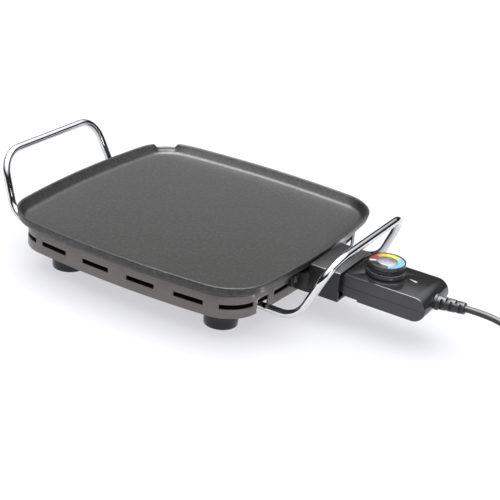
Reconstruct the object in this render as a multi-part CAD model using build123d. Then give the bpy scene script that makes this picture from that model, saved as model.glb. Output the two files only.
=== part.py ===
"""Electric table griddle: cast plate on a slotted steel skirt, two wire handles, a plug-in
thermostat controller with a turning dial, and its mains cord.

Units are millimetres, +Z is up and the feet stand on Z = 0. Every piece is drawn about the
plate's centre, and is moved along X when it is written, so that the origin lies under the
middle of the griddle with its handles and controller.
"""
from build123d import *
import math
import os

# ---------------------------------------------------------------- plate and skirt
PLATE_HALF = 150.0        # half the plate's width, measured across the middle of a side
SIDE_BOW = 12.0           # how far each side bows out over its length
CORNER_R = 49.0
RIM_Z = 63.5
TRAY_DEPTH = 10.0
FLOOR_T = 5.0
FLOOR_INSET = 10.0        # from the rim's edge to the foot of the tray's wall
FLOOR_CORNER_R = 28.0
LIP_W = 2.6
FLARE_Z = 54.5            # below this height the outer wall slopes in to the skirt
FLARE_INSET = 1.8
SKIRT_INSET = 12.0
SKIRT_T = 1.2
SKIRT_BOTTOM = 26.0
SPOUT_W = 21.0
SPOUT_DEPTH = 4.0
FLOOR_Z = RIM_Z - TRAY_DEPTH
UNDER_Z = FLOOR_Z - FLOOR_T

# slots in the skirt
SLOT_LOW = 35.5
SLOT_HIGH = 40.3
SLOT_W = 31.4
SLOT_PITCH = 52.8
SLOT_COUNT = 4
SHORT_SLOT_W = 25.0       # beside the socket, on the controller's side
SHORT_SLOT_Y = 58.6
CORNER_SLOT_FROM = -67.0  # degrees about the corner's centre, 0 along +X
CORNER_SLOT_TO = -12.0
NOTCH_W = 17.0
NOTCH_Y = 89.2

# ---------------------------------------------------------------- heating element, sensor socket
ELEMENT_R = 3.0
ELEMENT_Z = 43.5
ELEMENT_HALF = 68.0
TERMINAL_Y = 14.0
TERMINAL_END = 183.0
RIB_W = 12.0
RIB_BOTTOM = 39.0
RIB_END = 132.0
PROBE_R = 3.0
PROBE_TIP = 100.0
SOCKET_HALF_W = 6.0
SOCKET_BORE_R = 3.3
BLADE_T = 1.2
BLADE_LOW = 40.5
BLADE_HIGH = 46.5

# ---------------------------------------------------------------- feet and handles
FOOT_AT = 92.2
FOOT_R = 17.4
FOOT_BASE_R = 16.8
FOOT_SHOULDER = 34.0
FOOT_NECK_R = 11.0
BOSS_R = 8.0
BOSS_BOTTOM = 41.5
PAN_T = 0.6
PAN_GAP = 0.5             # all round, to the skirt
ROD_R = 4.0
ROD_Y = 86.0
ROD_Z = 29.1
ROD_END = 96.5           # inside the foot, clear of its screw
HANDLE_FOOT_X = 169.7
HANDLE_TOP_X = 195.5
HANDLE_TOP_Y = 77.1
HANDLE_TOP_Z = 90.0
ROD_FOOT_BEND = 26.0
ROD_TOP_BEND = 28.0

# ---------------------------------------------------------------- socket shroud
SHROUD_BACK = 151.0
SHROUD_FRONT = 183.7
SHROUD_HALF_W = 33.0
SHROUD_LOW = 29.4
SHROUD_HIGH = 60.2
SHROUD_WALL = 2.5
EAR_T = 3.0
EAR_HALF_W = 47.0
EAR_LOW = 36.0
EAR_TOP = 48.0
EAR_SCREW_Y = 39.5
EAR_SCREW_Z = 42.2
EAR_HOLE_R = 2.0
SCREW_SEAT = PLATE_HALF - SKIRT_INSET + 1.4    # where the ear screws' heads rest
PASSAGE_HALF_W = 20.0     # opening for the element's pins and the sensor
PASSAGE_LOW = 38.5
PASSAGE_HIGH = 47.2

# ---------------------------------------------------------------- controller
CASE_FRONT = 187.0
CASE_END = 271.6
CASE_HALF_W = 28.6
CASE_LOW = 34.5
CASE_HIGH = 59.4
CASE_WALL = 2.2
CASE_STEP_X = 202.0
CASE_STEP = 2.0
CASE_SPLIT = (CASE_LOW + CASE_HIGH) / 2
CASE_END_R = (CASE_HIGH - CASE_LOW) / 2
NOSE_FRONT = 169.0
NOSE_BACK = 196.0
SLEEVE_R = 4.3
SLEEVE_BORE_R = 3.3
SLEEVE_BACK = 194.0
CASE_SCREWS = [(206.0, -21.0), (206.0, 21.0), (256.0, -21.0), (256.0, 21.0)]

# ---------------------------------------------------------------- knob
KNOB_X = 215.6
KNOB_BOTTOM = CASE_HIGH + 0.5
KNOB_TOP = 73.2
KNOB_R = 18.3
KNOB_FLANGE_R = 19.6
KNOB_FLANGE_T = 2.8
KNOB_WALL = 2.4
DIAL_R = 17.0
DIAL_RECESS = 1.3
CAP_R = 10.4
SPINDLE_R = 2.5
BUSH_CLEARANCE = 0.05
FLUTES = 54

# ---------------------------------------------------------------- cord
CORD_R = 3.3
RELIEF_TILT = 5.0
RELIEF_LENGTH = 29.6
RELIEF_START = Vector(270.6, 0, 48.2)
RELIEF_NECK_R = 5.0       # where the sleeve passes through the case
RELIEF_ROOT_R = 7.0
RELIEF_TIP_R = 5.7
RELIEF_FLANGE_R = 8.0
RELIEF_FLANGE_T = 3.2
RELIEF_CORE = 3.9         # half the width left between a pair of slots
RELIEF_SIDE_SLOTS = (7.2, 16.6, 26.0)
RELIEF_SIDE_SLOT_W = 2.4
RELIEF_TOP_SLOTS = (11.9, 21.3)
RELIEF_TOP_SLOT_W = 2.2
CORD_ROUTE = [(319.0, 0.0, 51.7), (343.0, -0.8, 48.4), (366.0, -1.8, 34.5),
              (384.0, -2.6, 17.5), (401.0, -3.1, 6.6), (420.0, -3.3, 4.5)]
COIL_X, COIL_Y = 420.0, 37.8
COIL_TURN_R = 37.8
COIL_LOW = 1.0
COIL_LAYERS = 3
COIL_SLACK = 0.4          # room round the outermost turns
LAYER_PITCH = 6.4
TAIL_ROUTE = [(420.0, -3.3, 17.3), (437.0, -3.8, 17.9), (453.0, -4.2, 18.3)]
PLUG_REAR = 453.0
PLUG_Y = -4.2
PLUG_R = 18.3
PLUG_LENGTH = 43.0
CLIP_LENGTH = 14.0
PIN_R = 2.4
PIN_ROOT_R = 2.0          # the part of a pin inside the plug
PIN_ROOT = 12.0
PIN_LENGTH = 19.0
PIN_TIP_R = 1.5
PIN_PITCH = 19.0

# The middle of the griddle, its handles and its controller along X.
CENTRE_X = (CASE_END - HANDLE_TOP_X - ROD_R) / 2

os.makedirs("parts", exist_ok=True)


def write(shape, name):
    """Move a finished piece into the shared frame and write it."""
    export_step(Pos(-CENTRE_X, 0, 0) * shape, f"parts/{name}.step")


def block(x0, x1, y0, y1, z0, z1):
    """A box between two corners."""
    return Pos((x0 + x1) / 2, (y0 + y1) / 2, (z0 + z1) / 2) * Box(x1 - x0, y1 - y0, z1 - z0)


def upright(radius, x, y, z0, z1):
    """A cylinder standing along Z."""
    return Pos(x, y, (z0 + z1) / 2) * Cylinder(radius, z1 - z0)


def lying(radius, x0, x1, y, z):
    """A cylinder lying along X."""
    return Pos((x0 + x1) / 2, y, z) * Rot(0, 90, 0) * Cylinder(radius, x1 - x0)


def joined(shapes):
    """One shape from several solids that stay apart or merge where they touch."""
    whole = shapes[0]
    for shape in shapes[1:]:
        whole = whole + shape
    return whole


def bowed_square(half, bow, corner, inset=0.0):
    """A square with bowed sides and round corners, moved in by an inset, as a face."""
    side = (half ** 2 + bow ** 2) / (2 * bow)
    side_x = half - side
    reach = 2 * (side - corner) ** 2 - side_x ** 2
    corner_x = (side_x + math.sqrt(reach)) / 2
    turn = math.degrees(math.atan2(corner_x, corner_x - side_x))
    edges = []
    for quarter in range(4):
        side_arc = CenterArc((side_x, 0), side - inset, -turn, 2 * turn)
        corner_arc = CenterArc((corner_x, corner_x), corner - inset, turn, 90 - 2 * turn)
        edges += [Rot(0, 0, 90 * quarter) * side_arc, Rot(0, 0, 90 * quarter) * corner_arc]
    return make_face(edges)


def plate_outline(inset):
    return bowed_square(PLATE_HALF, SIDE_BOW, CORNER_R, inset)


def stacked(faces_at):
    """A solid through faces at rising heights, with straight walls between them."""
    return loft([Pos(0, 0, z) * face for face, z in faces_at], ruled=True)


def corner_centre():
    side = (PLATE_HALF ** 2 + SIDE_BOW ** 2) / (2 * SIDE_BOW)
    side_x = PLATE_HALF - side
    return (side_x + math.sqrt(2 * (side - CORNER_R) ** 2 - side_x ** 2)) / 2


def element_path(start_x):
    """The heater's loop under the plate, open towards the controller."""
    far, near = -75.0, 105.0
    points = [(start_x, -TERMINAL_Y), (116, -TERMINAL_Y), (near, -ELEMENT_HALF), (far, -ELEMENT_HALF),
              (far, ELEMENT_HALF), (near, ELEMENT_HALF), (116, TERMINAL_Y), (start_x, TERMINAL_Y)]
    return FilletPolyline(*points, radius=[11, 20, 22, 22, 20, 11])


def element_tube(start_x):
    section = Plane((start_x, -TERMINAL_Y, 0), x_dir=(0, 1, 0), z_dir=(-1, 0, 0)) * Circle(ELEMENT_R)
    return Pos(0, 0, ELEMENT_Z) * sweep(section, path=element_path(start_x))


def griddle_plate():
    """Cast plate: tray with a raised lip, pouring notch, and underneath the heater's rib, the
    sensor's socket and four bosses for the feet."""
    body = stacked([(plate_outline(SKIRT_INSET), UNDER_Z), (plate_outline(FLARE_INSET), FLARE_Z),
                    (plate_outline(0), RIM_Z - 1), (plate_outline(0.7), RIM_Z)])
    floor = bowed_square(PLATE_HALF - FLOOR_INSET, SIDE_BOW - 1, FLOOR_CORNER_R)
    tray = stacked([(floor, FLOOR_Z), (plate_outline(LIP_W + 0.8), RIM_Z - 1),
                    (plate_outline(LIP_W), RIM_Z)])
    foot_edges = tray.edges().group_by(Axis.Z)[0]
    tray = fillet(foot_edges, 3.5)
    body -= tray
    half_low, half_high = SPOUT_W / 2, SPOUT_W / 2 + SPOUT_DEPTH
    notch = make_face(Polyline((-half_low, -SPOUT_DEPTH), (half_low, -SPOUT_DEPTH), (half_high + 1, 1),
                               (-half_high - 1, 1), close=True))
    reach = CORNER_R
    spout = extrude(Plane.XZ * notch, reach, both=True)
    out = corner_centre() + CORNER_R / math.sqrt(2)
    body -= Pos(-out, out, RIM_Z) * Rot(0, 0, 45) * spout
    rib = Pos(0, 0, RIB_BOTTOM) * extrude(trace(element_path(RIB_END), RIB_W), UNDER_Z - RIB_BOTTOM)
    socket = block(PROBE_TIP - 6, RIB_END, -SOCKET_HALF_W, SOCKET_HALF_W, RIB_BOTTOM - 0.5, UNDER_Z)
    body = body + rib + socket
    for x, y in foot_places():
        body += upright(BOSS_R, x, y, BOSS_BOTTOM, UNDER_Z)
        body -= upright(2.5, x, y, BOSS_BOTTOM, UNDER_Z + 1.5)
    body -= element_tube(TERMINAL_END)
    body -= lying(SOCKET_BORE_R, PROBE_TIP - 2, RIB_END, 0, ELEMENT_Z)
    return body


def foot_places():
    return [(x, y) for x in (-FOOT_AT, FOOT_AT) for y in (-FOOT_AT, FOOT_AT)]


def corner_wedge():
    """Cutter for a slot round a corner, drawn from the corner's centre."""
    start, end = math.radians(CORNER_SLOT_FROM), math.radians(CORNER_SLOT_TO)
    middle = (start + end) / 2
    rays = [(60, start), (72, middle), (60, end)]
    points = [(0, 0)] + [(r * math.cos(a), r * math.sin(a)) for r, a in rays]
    return extrude(make_face(Polyline(*points, close=True)), SLOT_HIGH - SLOT_LOW)


def skirt():
    """Slotted sheet-steel skirt under the plate."""
    ring = plate_outline(SKIRT_INSET) - plate_outline(SKIRT_INSET + SKIRT_T)
    band = Pos(0, 0, SKIRT_BOTTOM) * extrude(ring, UNDER_Z - SKIRT_BOTTOM)
    reach = PLATE_HALF + 10
    inner = PLATE_HALF - SKIRT_INSET - 10
    mid = corner_centre()
    cuts = []
    for side in (90, -90):
        for i in range(SLOT_COUNT):
            at = (i - (SLOT_COUNT - 1) / 2) * SLOT_PITCH
            slot = block(inner, reach, at - SLOT_W / 2, at + SLOT_W / 2, SLOT_LOW, SLOT_HIGH)
            cuts.append(Rot(0, 0, side) * slot)
    for turn in (0, 180):
        for sign in (-1, 1):
            y = sign * SHORT_SLOT_Y
            slot = block(inner, reach, y - SHORT_SLOT_W / 2, y + SHORT_SLOT_W / 2, SLOT_LOW, SLOT_HIGH)
            y = sign * NOTCH_Y
            notch = block(inner, reach, y - NOTCH_W / 2, y + NOTCH_W / 2, SKIRT_BOTTOM - 1, SLOT_HIGH)
            cuts += [Rot(0, 0, turn) * slot, Rot(0, 0, turn) * notch]
    cuts.append(block(-reach, -inner, -SLOT_W / 2, SLOT_W / 2, SLOT_LOW, SLOT_HIGH))
    for quarter in range(4):
        cuts.append(Rot(0, 0, 90 * quarter) * Pos(mid, -mid, SLOT_LOW) * corner_wedge())
    cuts.append(block(inner, reach, -PASSAGE_HALF_W - 1, PASSAGE_HALF_W + 1,
                      PASSAGE_LOW - 0.2, PASSAGE_HIGH + 0.2))
    for sign in (-1, 1):
        cuts.append(lying(EAR_HOLE_R, inner, reach, sign * EAR_SCREW_Y, EAR_SCREW_Z))
    for cut in cuts:
        band -= cut
    return band


def foot():
    """Moulded foot, cross-bored for a handle's rod and counterbored for its screw."""
    profile = make_face(Polyline((0, 0), (FOOT_BASE_R - 1, 0), (FOOT_BASE_R, 1), (FOOT_R, 10),
                                 (FOOT_R, FOOT_SHOULDER - 1), (FOOT_R - 1, FOOT_SHOULDER),
                                 (FOOT_NECK_R, FOOT_SHOULDER), (FOOT_NECK_R, BOSS_BOTTOM),
                                 (0, BOSS_BOTTOM), close=True))
    body = revolve(Plane.XZ * profile, Axis.Z)
    body -= upright(5.5, 0, 0, 0, 9)
    body -= upright(2.5, 0, 0, 9, BOSS_BOTTOM)
    return body


def base_pan():
    """Heat shield that rests on the feet's shoulders, under the heater."""
    pan = Pos(0, 0, FOOT_SHOULDER) * extrude(plate_outline(SKIRT_INSET + SKIRT_T + PAN_GAP), PAN_T)
    for x, y in foot_places():
        pan -= upright(FOOT_NECK_R, x, y, FOOT_SHOULDER, FOOT_SHOULDER + PAN_T)
    return pan


def handle_rod():
    """One chromed rod bent into a handle, for the controller's side."""
    points = [(ROD_END, -ROD_Y, ROD_Z), (HANDLE_FOOT_X, -ROD_Y, ROD_Z),
              (HANDLE_TOP_X, -HANDLE_TOP_Y, HANDLE_TOP_Z), (HANDLE_TOP_X, HANDLE_TOP_Y, HANDLE_TOP_Z),
              (HANDLE_FOOT_X, ROD_Y, ROD_Z), (ROD_END, ROD_Y, ROD_Z)]
    bends = [ROD_FOOT_BEND, ROD_TOP_BEND, ROD_TOP_BEND, ROD_FOOT_BEND]
    path = FilletPolyline(*points, radius=bends)
    section = Plane(points[0], x_dir=(0, 1, 0), z_dir=(1, 0, 0)) * Circle(ROD_R)
    return sweep(section, path=path)


def foot_screw():
    """Pan-head screw up through a foot into its boss."""
    head = fillet(Cylinder(5.0, 3.2).edges().group_by(Axis.Z)[0], 1.0)
    screw = Pos(0, 0, 7.4) * head + upright(2.5, 0, 0, 9, UNDER_Z + 1)
    cross = block(-3.2, 3.2, -0.6, 0.6, 5.8, 7.2) + block(-0.6, 0.6, -3.2, 3.2, 5.8, 7.2)
    return screw - cross


def socket_shroud():
    """Moulded socket round the terminals, with two ears screwed to the skirt."""
    y, wall = SHROUD_HALF_W, SHROUD_WALL
    box = block(SHROUD_BACK, SHROUD_FRONT, -y, y, SHROUD_LOW, SHROUD_HIGH)
    box = fillet(box.edges().filter_by(Axis.X), 1.0)
    step = block(130, SHROUD_BACK, -y, y, SHROUD_LOW, UNDER_Z - 0.3)
    ears = block(130, PLATE_HALF - SKIRT_INSET + EAR_T, -EAR_HALF_W, EAR_HALF_W, EAR_LOW, EAR_TOP)
    body = box + step + ears
    body -= block(SHROUD_BACK + wall, SHROUD_FRONT, -y + wall, y - wall,
                  SHROUD_LOW + wall, SHROUD_HIGH - wall)
    body -= block(130, SHROUD_BACK + wall, -PASSAGE_HALF_W, PASSAGE_HALF_W, PASSAGE_LOW, PASSAGE_HIGH)
    body -= extrude(plate_outline(SKIRT_INSET), 100)
    for sign in (-1, 1):
        body -= lying(EAR_HOLE_R, 130, 160, sign * EAR_SCREW_Y, EAR_SCREW_Z)
        body -= lying(4.2, SCREW_SEAT, 150, sign * EAR_SCREW_Y, EAR_SCREW_Z)
    return body


def shroud_screws():
    screws = []
    for y in (-EAR_SCREW_Y, EAR_SCREW_Y):
        head = lying(3.8, SCREW_SEAT, SCREW_SEAT + 1.5, y, EAR_SCREW_Z)
        shank = lying(EAR_HOLE_R, 128, SCREW_SEAT, y, EAR_SCREW_Z)
        slot = block(SCREW_SEAT + 0.8, SCREW_SEAT + 2, y - 0.5, y + 0.5, EAR_SCREW_Z - 4, EAR_SCREW_Z + 4)
        screws.append(head + shank - slot)
    return joined(screws)


def earth_blade():
    """Earth contact fixed to the side of the sensor's socket."""
    return block(108, 182, SOCKET_HALF_W, SOCKET_HALF_W + BLADE_T, BLADE_LOW, BLADE_HIGH)


def case_profile(offset):
    """Side view of the controller's case, a full round at the cord's end, moved in by offset."""
    low, high, step = CASE_LOW + offset, CASE_HIGH - offset, CASE_LOW + CASE_STEP + offset
    front, end_x = CASE_FRONT, CASE_END - CASE_END_R
    radius = CASE_END_R - offset
    line = Polyline((end_x, high), (front, high), (front, step), (CASE_STEP_X + offset, step),
                    (CASE_STEP_X + offset, low), (end_x, low))
    arc = ThreePointArc((end_x, low), (end_x + radius, CASE_SPLIT), (end_x, high))
    return Plane.XZ * make_face([*line.edges(), arc])


def case_outer():
    body = extrude(case_profile(0), CASE_HALF_W, both=True)
    sides = [e for e in body.edges() if abs(abs(e.center().Y) - CASE_HALF_W) < 0.01 and
             e.center().X > CASE_FRONT + 0.1]
    return fillet(sides, 1.2)


def case_cavity():
    return extrude(case_profile(CASE_WALL), CASE_HALF_W - CASE_WALL, both=True)


def case_posts(z0, z1, radius):
    return joined([upright(radius, x, y, z0, z1) for x, y in CASE_SCREWS])


def case_halves():
    """Upper and lower shells of the controller, parted along the middle of its side."""
    shell = case_outer() - case_cavity()
    far = 2 * CASE_END
    upper = shell & block(0, far, -99, 99, CASE_SPLIT, 99)
    lower = shell & block(0, far, -99, 99, 0, CASE_SPLIT)
    upper += case_posts(CASE_SPLIT, CASE_HIGH - CASE_WALL, 3.4)
    upper -= case_posts(CASE_SPLIT, CASE_SPLIT + 9, 1.3)
    lower += case_posts(CASE_LOW + CASE_WALL, CASE_SPLIT, 3.4)
    lower -= case_posts(CASE_LOW, CASE_LOW + 3, 2.8)
    lower -= case_posts(CASE_LOW + 3, CASE_SPLIT, 1.3)
    upper -= upright(SPINDLE_R + 1.0, KNOB_X, 0, CASE_SPLIT, CASE_HIGH)
    hole = relief_cylinder(RELIEF_NECK_R, -12, 12)
    return upper - hole, lower - hole


def case_screws():
    screws = []
    for x, y in CASE_SCREWS:
        screws.append(upright(2.6, x, y, CASE_LOW + 1.2, CASE_LOW + 3) +
                      upright(1.3, x, y, CASE_LOW + 3, CASE_SPLIT + 8) -
                      block(x - 2, x + 2, y - 0.4, y + 0.4, CASE_LOW, CASE_LOW + 2))
    return joined(screws)


def nose_block():
    """Heat-proof block that holds the contacts and the sensor's tube."""
    y = CASE_HALF_W - CASE_WALL
    low, high = CASE_LOW + CASE_STEP + CASE_WALL, CASE_HIGH - CASE_WALL
    body = block(NOSE_FRONT, CASE_FRONT, -y + 0.8, y - 0.8, low, high - 0.8)
    body += block(CASE_FRONT, NOSE_BACK, -y, y, low, high)
    front = body.edges().filter_by(lambda e: abs(e.center().X - NOSE_FRONT) < 0.01)
    body = chamfer(front, 1.0)
    for sign in (-1, 1):
        body -= lying(SLEEVE_R, NOSE_FRONT, NOSE_BACK, sign * TERMINAL_Y, ELEMENT_Z)
    body -= lying(PROBE_R, NOSE_FRONT, NOSE_BACK, 0, ELEMENT_Z)
    body -= block(NOSE_FRONT, 190, SOCKET_HALF_W - 0.4, SOCKET_HALF_W + BLADE_T + 0.4,
                  BLADE_LOW - 0.5, BLADE_HIGH + 0.5)
    return body


def contact_sleeves():
    sleeves = []
    for sign in (-1, 1):
        tube = lying(SLEEVE_R, NOSE_FRONT + 1, SLEEVE_BACK, sign * TERMINAL_Y, ELEMENT_Z)
        tube -= lying(SLEEVE_BORE_R, NOSE_FRONT + 1, SLEEVE_BACK - 3, sign * TERMINAL_Y, ELEMENT_Z)
        tag = block(SLEEVE_BACK, SLEEVE_BACK + 9, sign * TERMINAL_Y - 2, sign * TERMINAL_Y + 2,
                    ELEMENT_Z - 0.5, ELEMENT_Z + 0.5)
        sleeves.append(tube + tag)
    return joined(sleeves)


def probe():
    """Steel sensor tube that reaches into the plate."""
    tube = lying(PROBE_R, PROBE_TIP + 1.5, 200, 0, ELEMENT_Z)
    tip = [e for e in tube.edges() if e.center().X < PROBE_TIP + 2 and e.geom_type == GeomType.CIRCLE]
    return fillet(tip, 1.4)


def thermostat_frame():
    """Folded steel frame behind the sensor, with the arm that carries the spindle's bush."""
    base = block(200, 244, -9, 9, 39.2, 40.4)
    back = block(242.8, 244, -9, 9, 40.4, 50.6)
    arm = block(208, 244, -9, 9, 50.6, 51.8)
    front = block(200, 201.2, -9, 9, 40.4, 49)
    frame = base + back + arm + front
    frame -= upright(4.0, KNOB_X, 0, 50.6, 51.8)
    return frame


def spindle_bush():
    bush = upright(4.0, KNOB_X, 0, 48.6, 51.8) + upright(5.5, KNOB_X, 0, 51.8, 54.4)
    return bush - upright(SPINDLE_R + BUSH_CLEARANCE, KNOB_X, 0, 48.6, 54.4)


def bimetal_strip():
    """Bimetal blade from the sensor's end to the switch."""
    strip = block(201.2, 238, -3, 3, 44.4, 45.2)
    return strip + block(201.2, 205, -3, 3, 41.6, 44.4)


def switch_contacts():
    """Fixed and moving contact springs with their silver buttons."""
    fixed = block(210, 241, -8, -4.5, 42.0, 42.6) + upright(1.6, 236, -6.2, 42.6, 43.4)
    moving = block(212, 239, -8, -4.5, 44.2, 44.7) + upright(1.6, 236, -6.2, 43.4, 44.2)
    return joined([fixed, moving])


def knob():
    """Fluted knob, hollow underneath, with a recess for its dial."""
    height = KNOB_TOP - KNOB_BOTTOM
    flange_z = KNOB_FLANGE_T
    profile = make_face(Polyline((0, 0), (KNOB_FLANGE_R - 0.6, 0), (KNOB_FLANGE_R, 0.6),
                                 (KNOB_FLANGE_R - 0.5, flange_z), (KNOB_R + 0.5, flange_z + 0.6),
                                 (KNOB_R, height - 0.4), (KNOB_R - 0.4, height), (0, height), close=True))
    body = revolve(Plane.XZ * profile, Axis.Z)
    body -= upright(DIAL_R, 0, 0, height - DIAL_RECESS, height)
    hollow = upright(KNOB_R - KNOB_WALL, 0, 0, 0, height - 3) - upright(5.0, 0, 0, 0, height - 3)
    body -= hollow
    flute = upright(0.55, KNOB_R + 0.45, 0, flange_z + 1.6, height - 2.6)
    for i in range(FLUTES):
        body -= Rot(0, 0, i * 360 / FLUTES) * flute
    body -= upright(SPINDLE_R, 0, 0, 0, height - 3)
    return Pos(KNOB_X, 0, KNOB_BOTTOM) * body


def dial_disc():
    z = KNOB_TOP - DIAL_RECESS
    return upright(DIAL_R, KNOB_X, 0, z, z + 0.5) - upright(CAP_R, KNOB_X, 0, z, z + 0.5)


def knob_cap():
    z = KNOB_TOP - DIAL_RECESS
    cap = upright(CAP_R, KNOB_X, 0, z, z + 1.0)
    return fillet(cap.edges().group_by(Axis.Z)[-1], 0.4)


def knob_spindle():
    """Spindle fixed in the knob and running in the bush, with a stop collar under it."""
    top = KNOB_TOP - 3 - 0.01
    return upright(SPINDLE_R, KNOB_X, 0, 46.4, top) + upright(3.8, KNOB_X, 0, 46.4, 47.6)


def relief_frame():
    """Plane at the strain relief's root, facing out along it."""
    tilt = math.radians(RELIEF_TILT)
    return Plane(RELIEF_START, x_dir=(0, 1, 0), z_dir=(math.cos(tilt), 0, math.sin(tilt)))


def relief_cylinder(radius, start, end):
    frame = relief_frame()
    return frame * Pos(0, 0, (start + end) / 2) * Cylinder(radius, end - start)


def strain_relief():
    """Rubber sleeve that tapers from the case down to the cord, slotted by turns at its sides
    and at its top and bottom so that it bends."""
    frame = relief_frame()
    cone = loft([frame * Circle(RELIEF_ROOT_R), frame * Pos(0, 0, RELIEF_LENGTH) * Circle(RELIEF_TIP_R)])
    body = cone + relief_cylinder(RELIEF_FLANGE_R, 0, RELIEF_FLANGE_T)
    body += relief_cylinder(RELIEF_NECK_R, -6, 0.5)
    for sign in (-1, 1):
        out = sign * (RELIEF_CORE + 10)
        for at in RELIEF_SIDE_SLOTS:
            body -= frame * Pos(out, 0, at) * Box(20, 30, RELIEF_SIDE_SLOT_W)
        for at in RELIEF_TOP_SLOTS:
            body -= frame * Pos(0, out, at) * Box(30, 20, RELIEF_TOP_SLOT_W)
    body -= case_outer() - case_cavity() - relief_cylinder(RELIEF_NECK_R, -12, 12)
    return body - relief_cylinder(CORD_R, -8, RELIEF_LENGTH + 1)


def relief_tip():
    tilt = math.radians(RELIEF_TILT)
    return RELIEF_START + RELIEF_LENGTH * Vector(math.cos(tilt), 0, math.sin(tilt))


def largest_arcs(points):
    """The radius at each corner of a route: 0.45 of the shorter run over tan(half the turn)."""
    points = [Vector(p) for p in points]
    radii = []
    for a, b, c in zip(points, points[1:], points[2:]):
        turn = math.radians((b - a).get_angle(c - b))
        radii.append(0.45 * min((b - a).length, (c - b).length) / math.tan(turn / 2))
    return radii


def cord_tube(points, label):
    """A round cord along straight runs and tangent arcs."""
    radii = largest_arcs(points)
    path = FilletPolyline(*points, radius=radii)
    start, second = Vector(points[0]), Vector(points[1])
    tube = sweep(Plane(start, z_dir=second - start) * Circle(CORD_R), path=path)
    expected = math.pi * CORD_R ** 2 * path.length
    print(label, "radii", [round(r, 1) for r in radii], "length", round(path.length, 1),
          "volume ratio", round(tube.volume / expected, 4))
    return tube


def coil_section():
    """Width and height of the bundle of turns."""
    layers = 2 * CORD_R + (COIL_LAYERS - 1) * LAYER_PITCH
    return 4 * CORD_R + 2 * COIL_SLACK, layers + 2 * COIL_SLACK


def cord_coil():
    """The outer shape of the wound cord."""
    width, height = coil_section()
    section = Pos(COIL_TURN_R, COIL_LOW + height / 2) * RectangleRounded(width, height, CORD_R)
    return Pos(COIL_X, COIL_Y, 0) * revolve(Plane.XZ * section, Axis.Z)


def cord_tie():
    """A flat band round the bundle."""
    width, height = coil_section()
    thick = 0.8
    outer = RectangleRounded(width + 2 * thick, height + 2 * thick, CORD_R + thick)
    ring = outer - RectangleRounded(width, height, CORD_R)
    section = Pos(COIL_TURN_R, COIL_LOW + height / 2) * ring
    band = revolve(Plane.XZ * section, Axis.Z, revolution_arc=9)
    return Pos(COIL_X, COIL_Y, 0) * Rot(0, 0, -4.5) * band


def plug_body():
    """Moulded earthed plug, lying on its side, with its grip towards the cord."""
    front = PLUG_REAR + PLUG_LENGTH
    shoulder = PLUG_LENGTH - 15
    spine = [(0, 0), (0, 4.6), (5, 5.4), (12, 7.0), (16, 13.0), (26, 16.6), (shoulder, PLUG_R - 0.8),
             (shoulder, PLUG_R), (PLUG_LENGTH - 1, PLUG_R), (PLUG_LENGTH, PLUG_R - 1), (PLUG_LENGTH, 0)]
    profile = make_face(Polyline(*spine, close=True))
    body = Pos(PLUG_REAR, PLUG_Y, PLUG_R) * revolve(profile, Axis.X)
    body -= lying(CORD_R, PLUG_REAR - 1, PLUG_REAR + 3, PLUG_Y, PLUG_R)
    for sign in (-1, 1):
        body -= lying(PIN_ROOT_R, front - PIN_ROOT, front + 1, PLUG_Y, PLUG_R + sign * PIN_PITCH / 2)
        side = PLUG_Y + sign * PLUG_R
        body -= block(front - CLIP_LENGTH, front + 1, side - 1.6, side + 1.6, PLUG_R - 3.2, PLUG_R + 3.2)
    return body


def plug_pins():
    front = PLUG_REAR + PLUG_LENGTH
    pins = []
    for sign in (-1, 1):
        z = PLUG_R + sign * PIN_PITCH / 2
        pin = lying(PIN_R, front, front + PIN_LENGTH, PLUG_Y, z)
        tip = [e for e in pin.edges() if e.center().X > front + PIN_LENGTH - 0.1 and
               e.geom_type == GeomType.CIRCLE]
        pins.append(fillet(tip, PIN_TIP_R) + lying(PIN_ROOT_R, front - PIN_ROOT, front, PLUG_Y, z))
    return joined(pins)


def plug_earth_clips():
    """Spring contacts in the plug's two side grooves."""
    front = PLUG_REAR + PLUG_LENGTH
    clips = []
    for sign in (-1, 1):
        sides = sorted((PLUG_Y + sign * (PLUG_R - 1.6), PLUG_Y + sign * (PLUG_R - 0.8)))
        clips.append(block(front - CLIP_LENGTH, front, *sides, PLUG_R - 2.6, PLUG_R + 2.6))
    return joined(clips)


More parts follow.
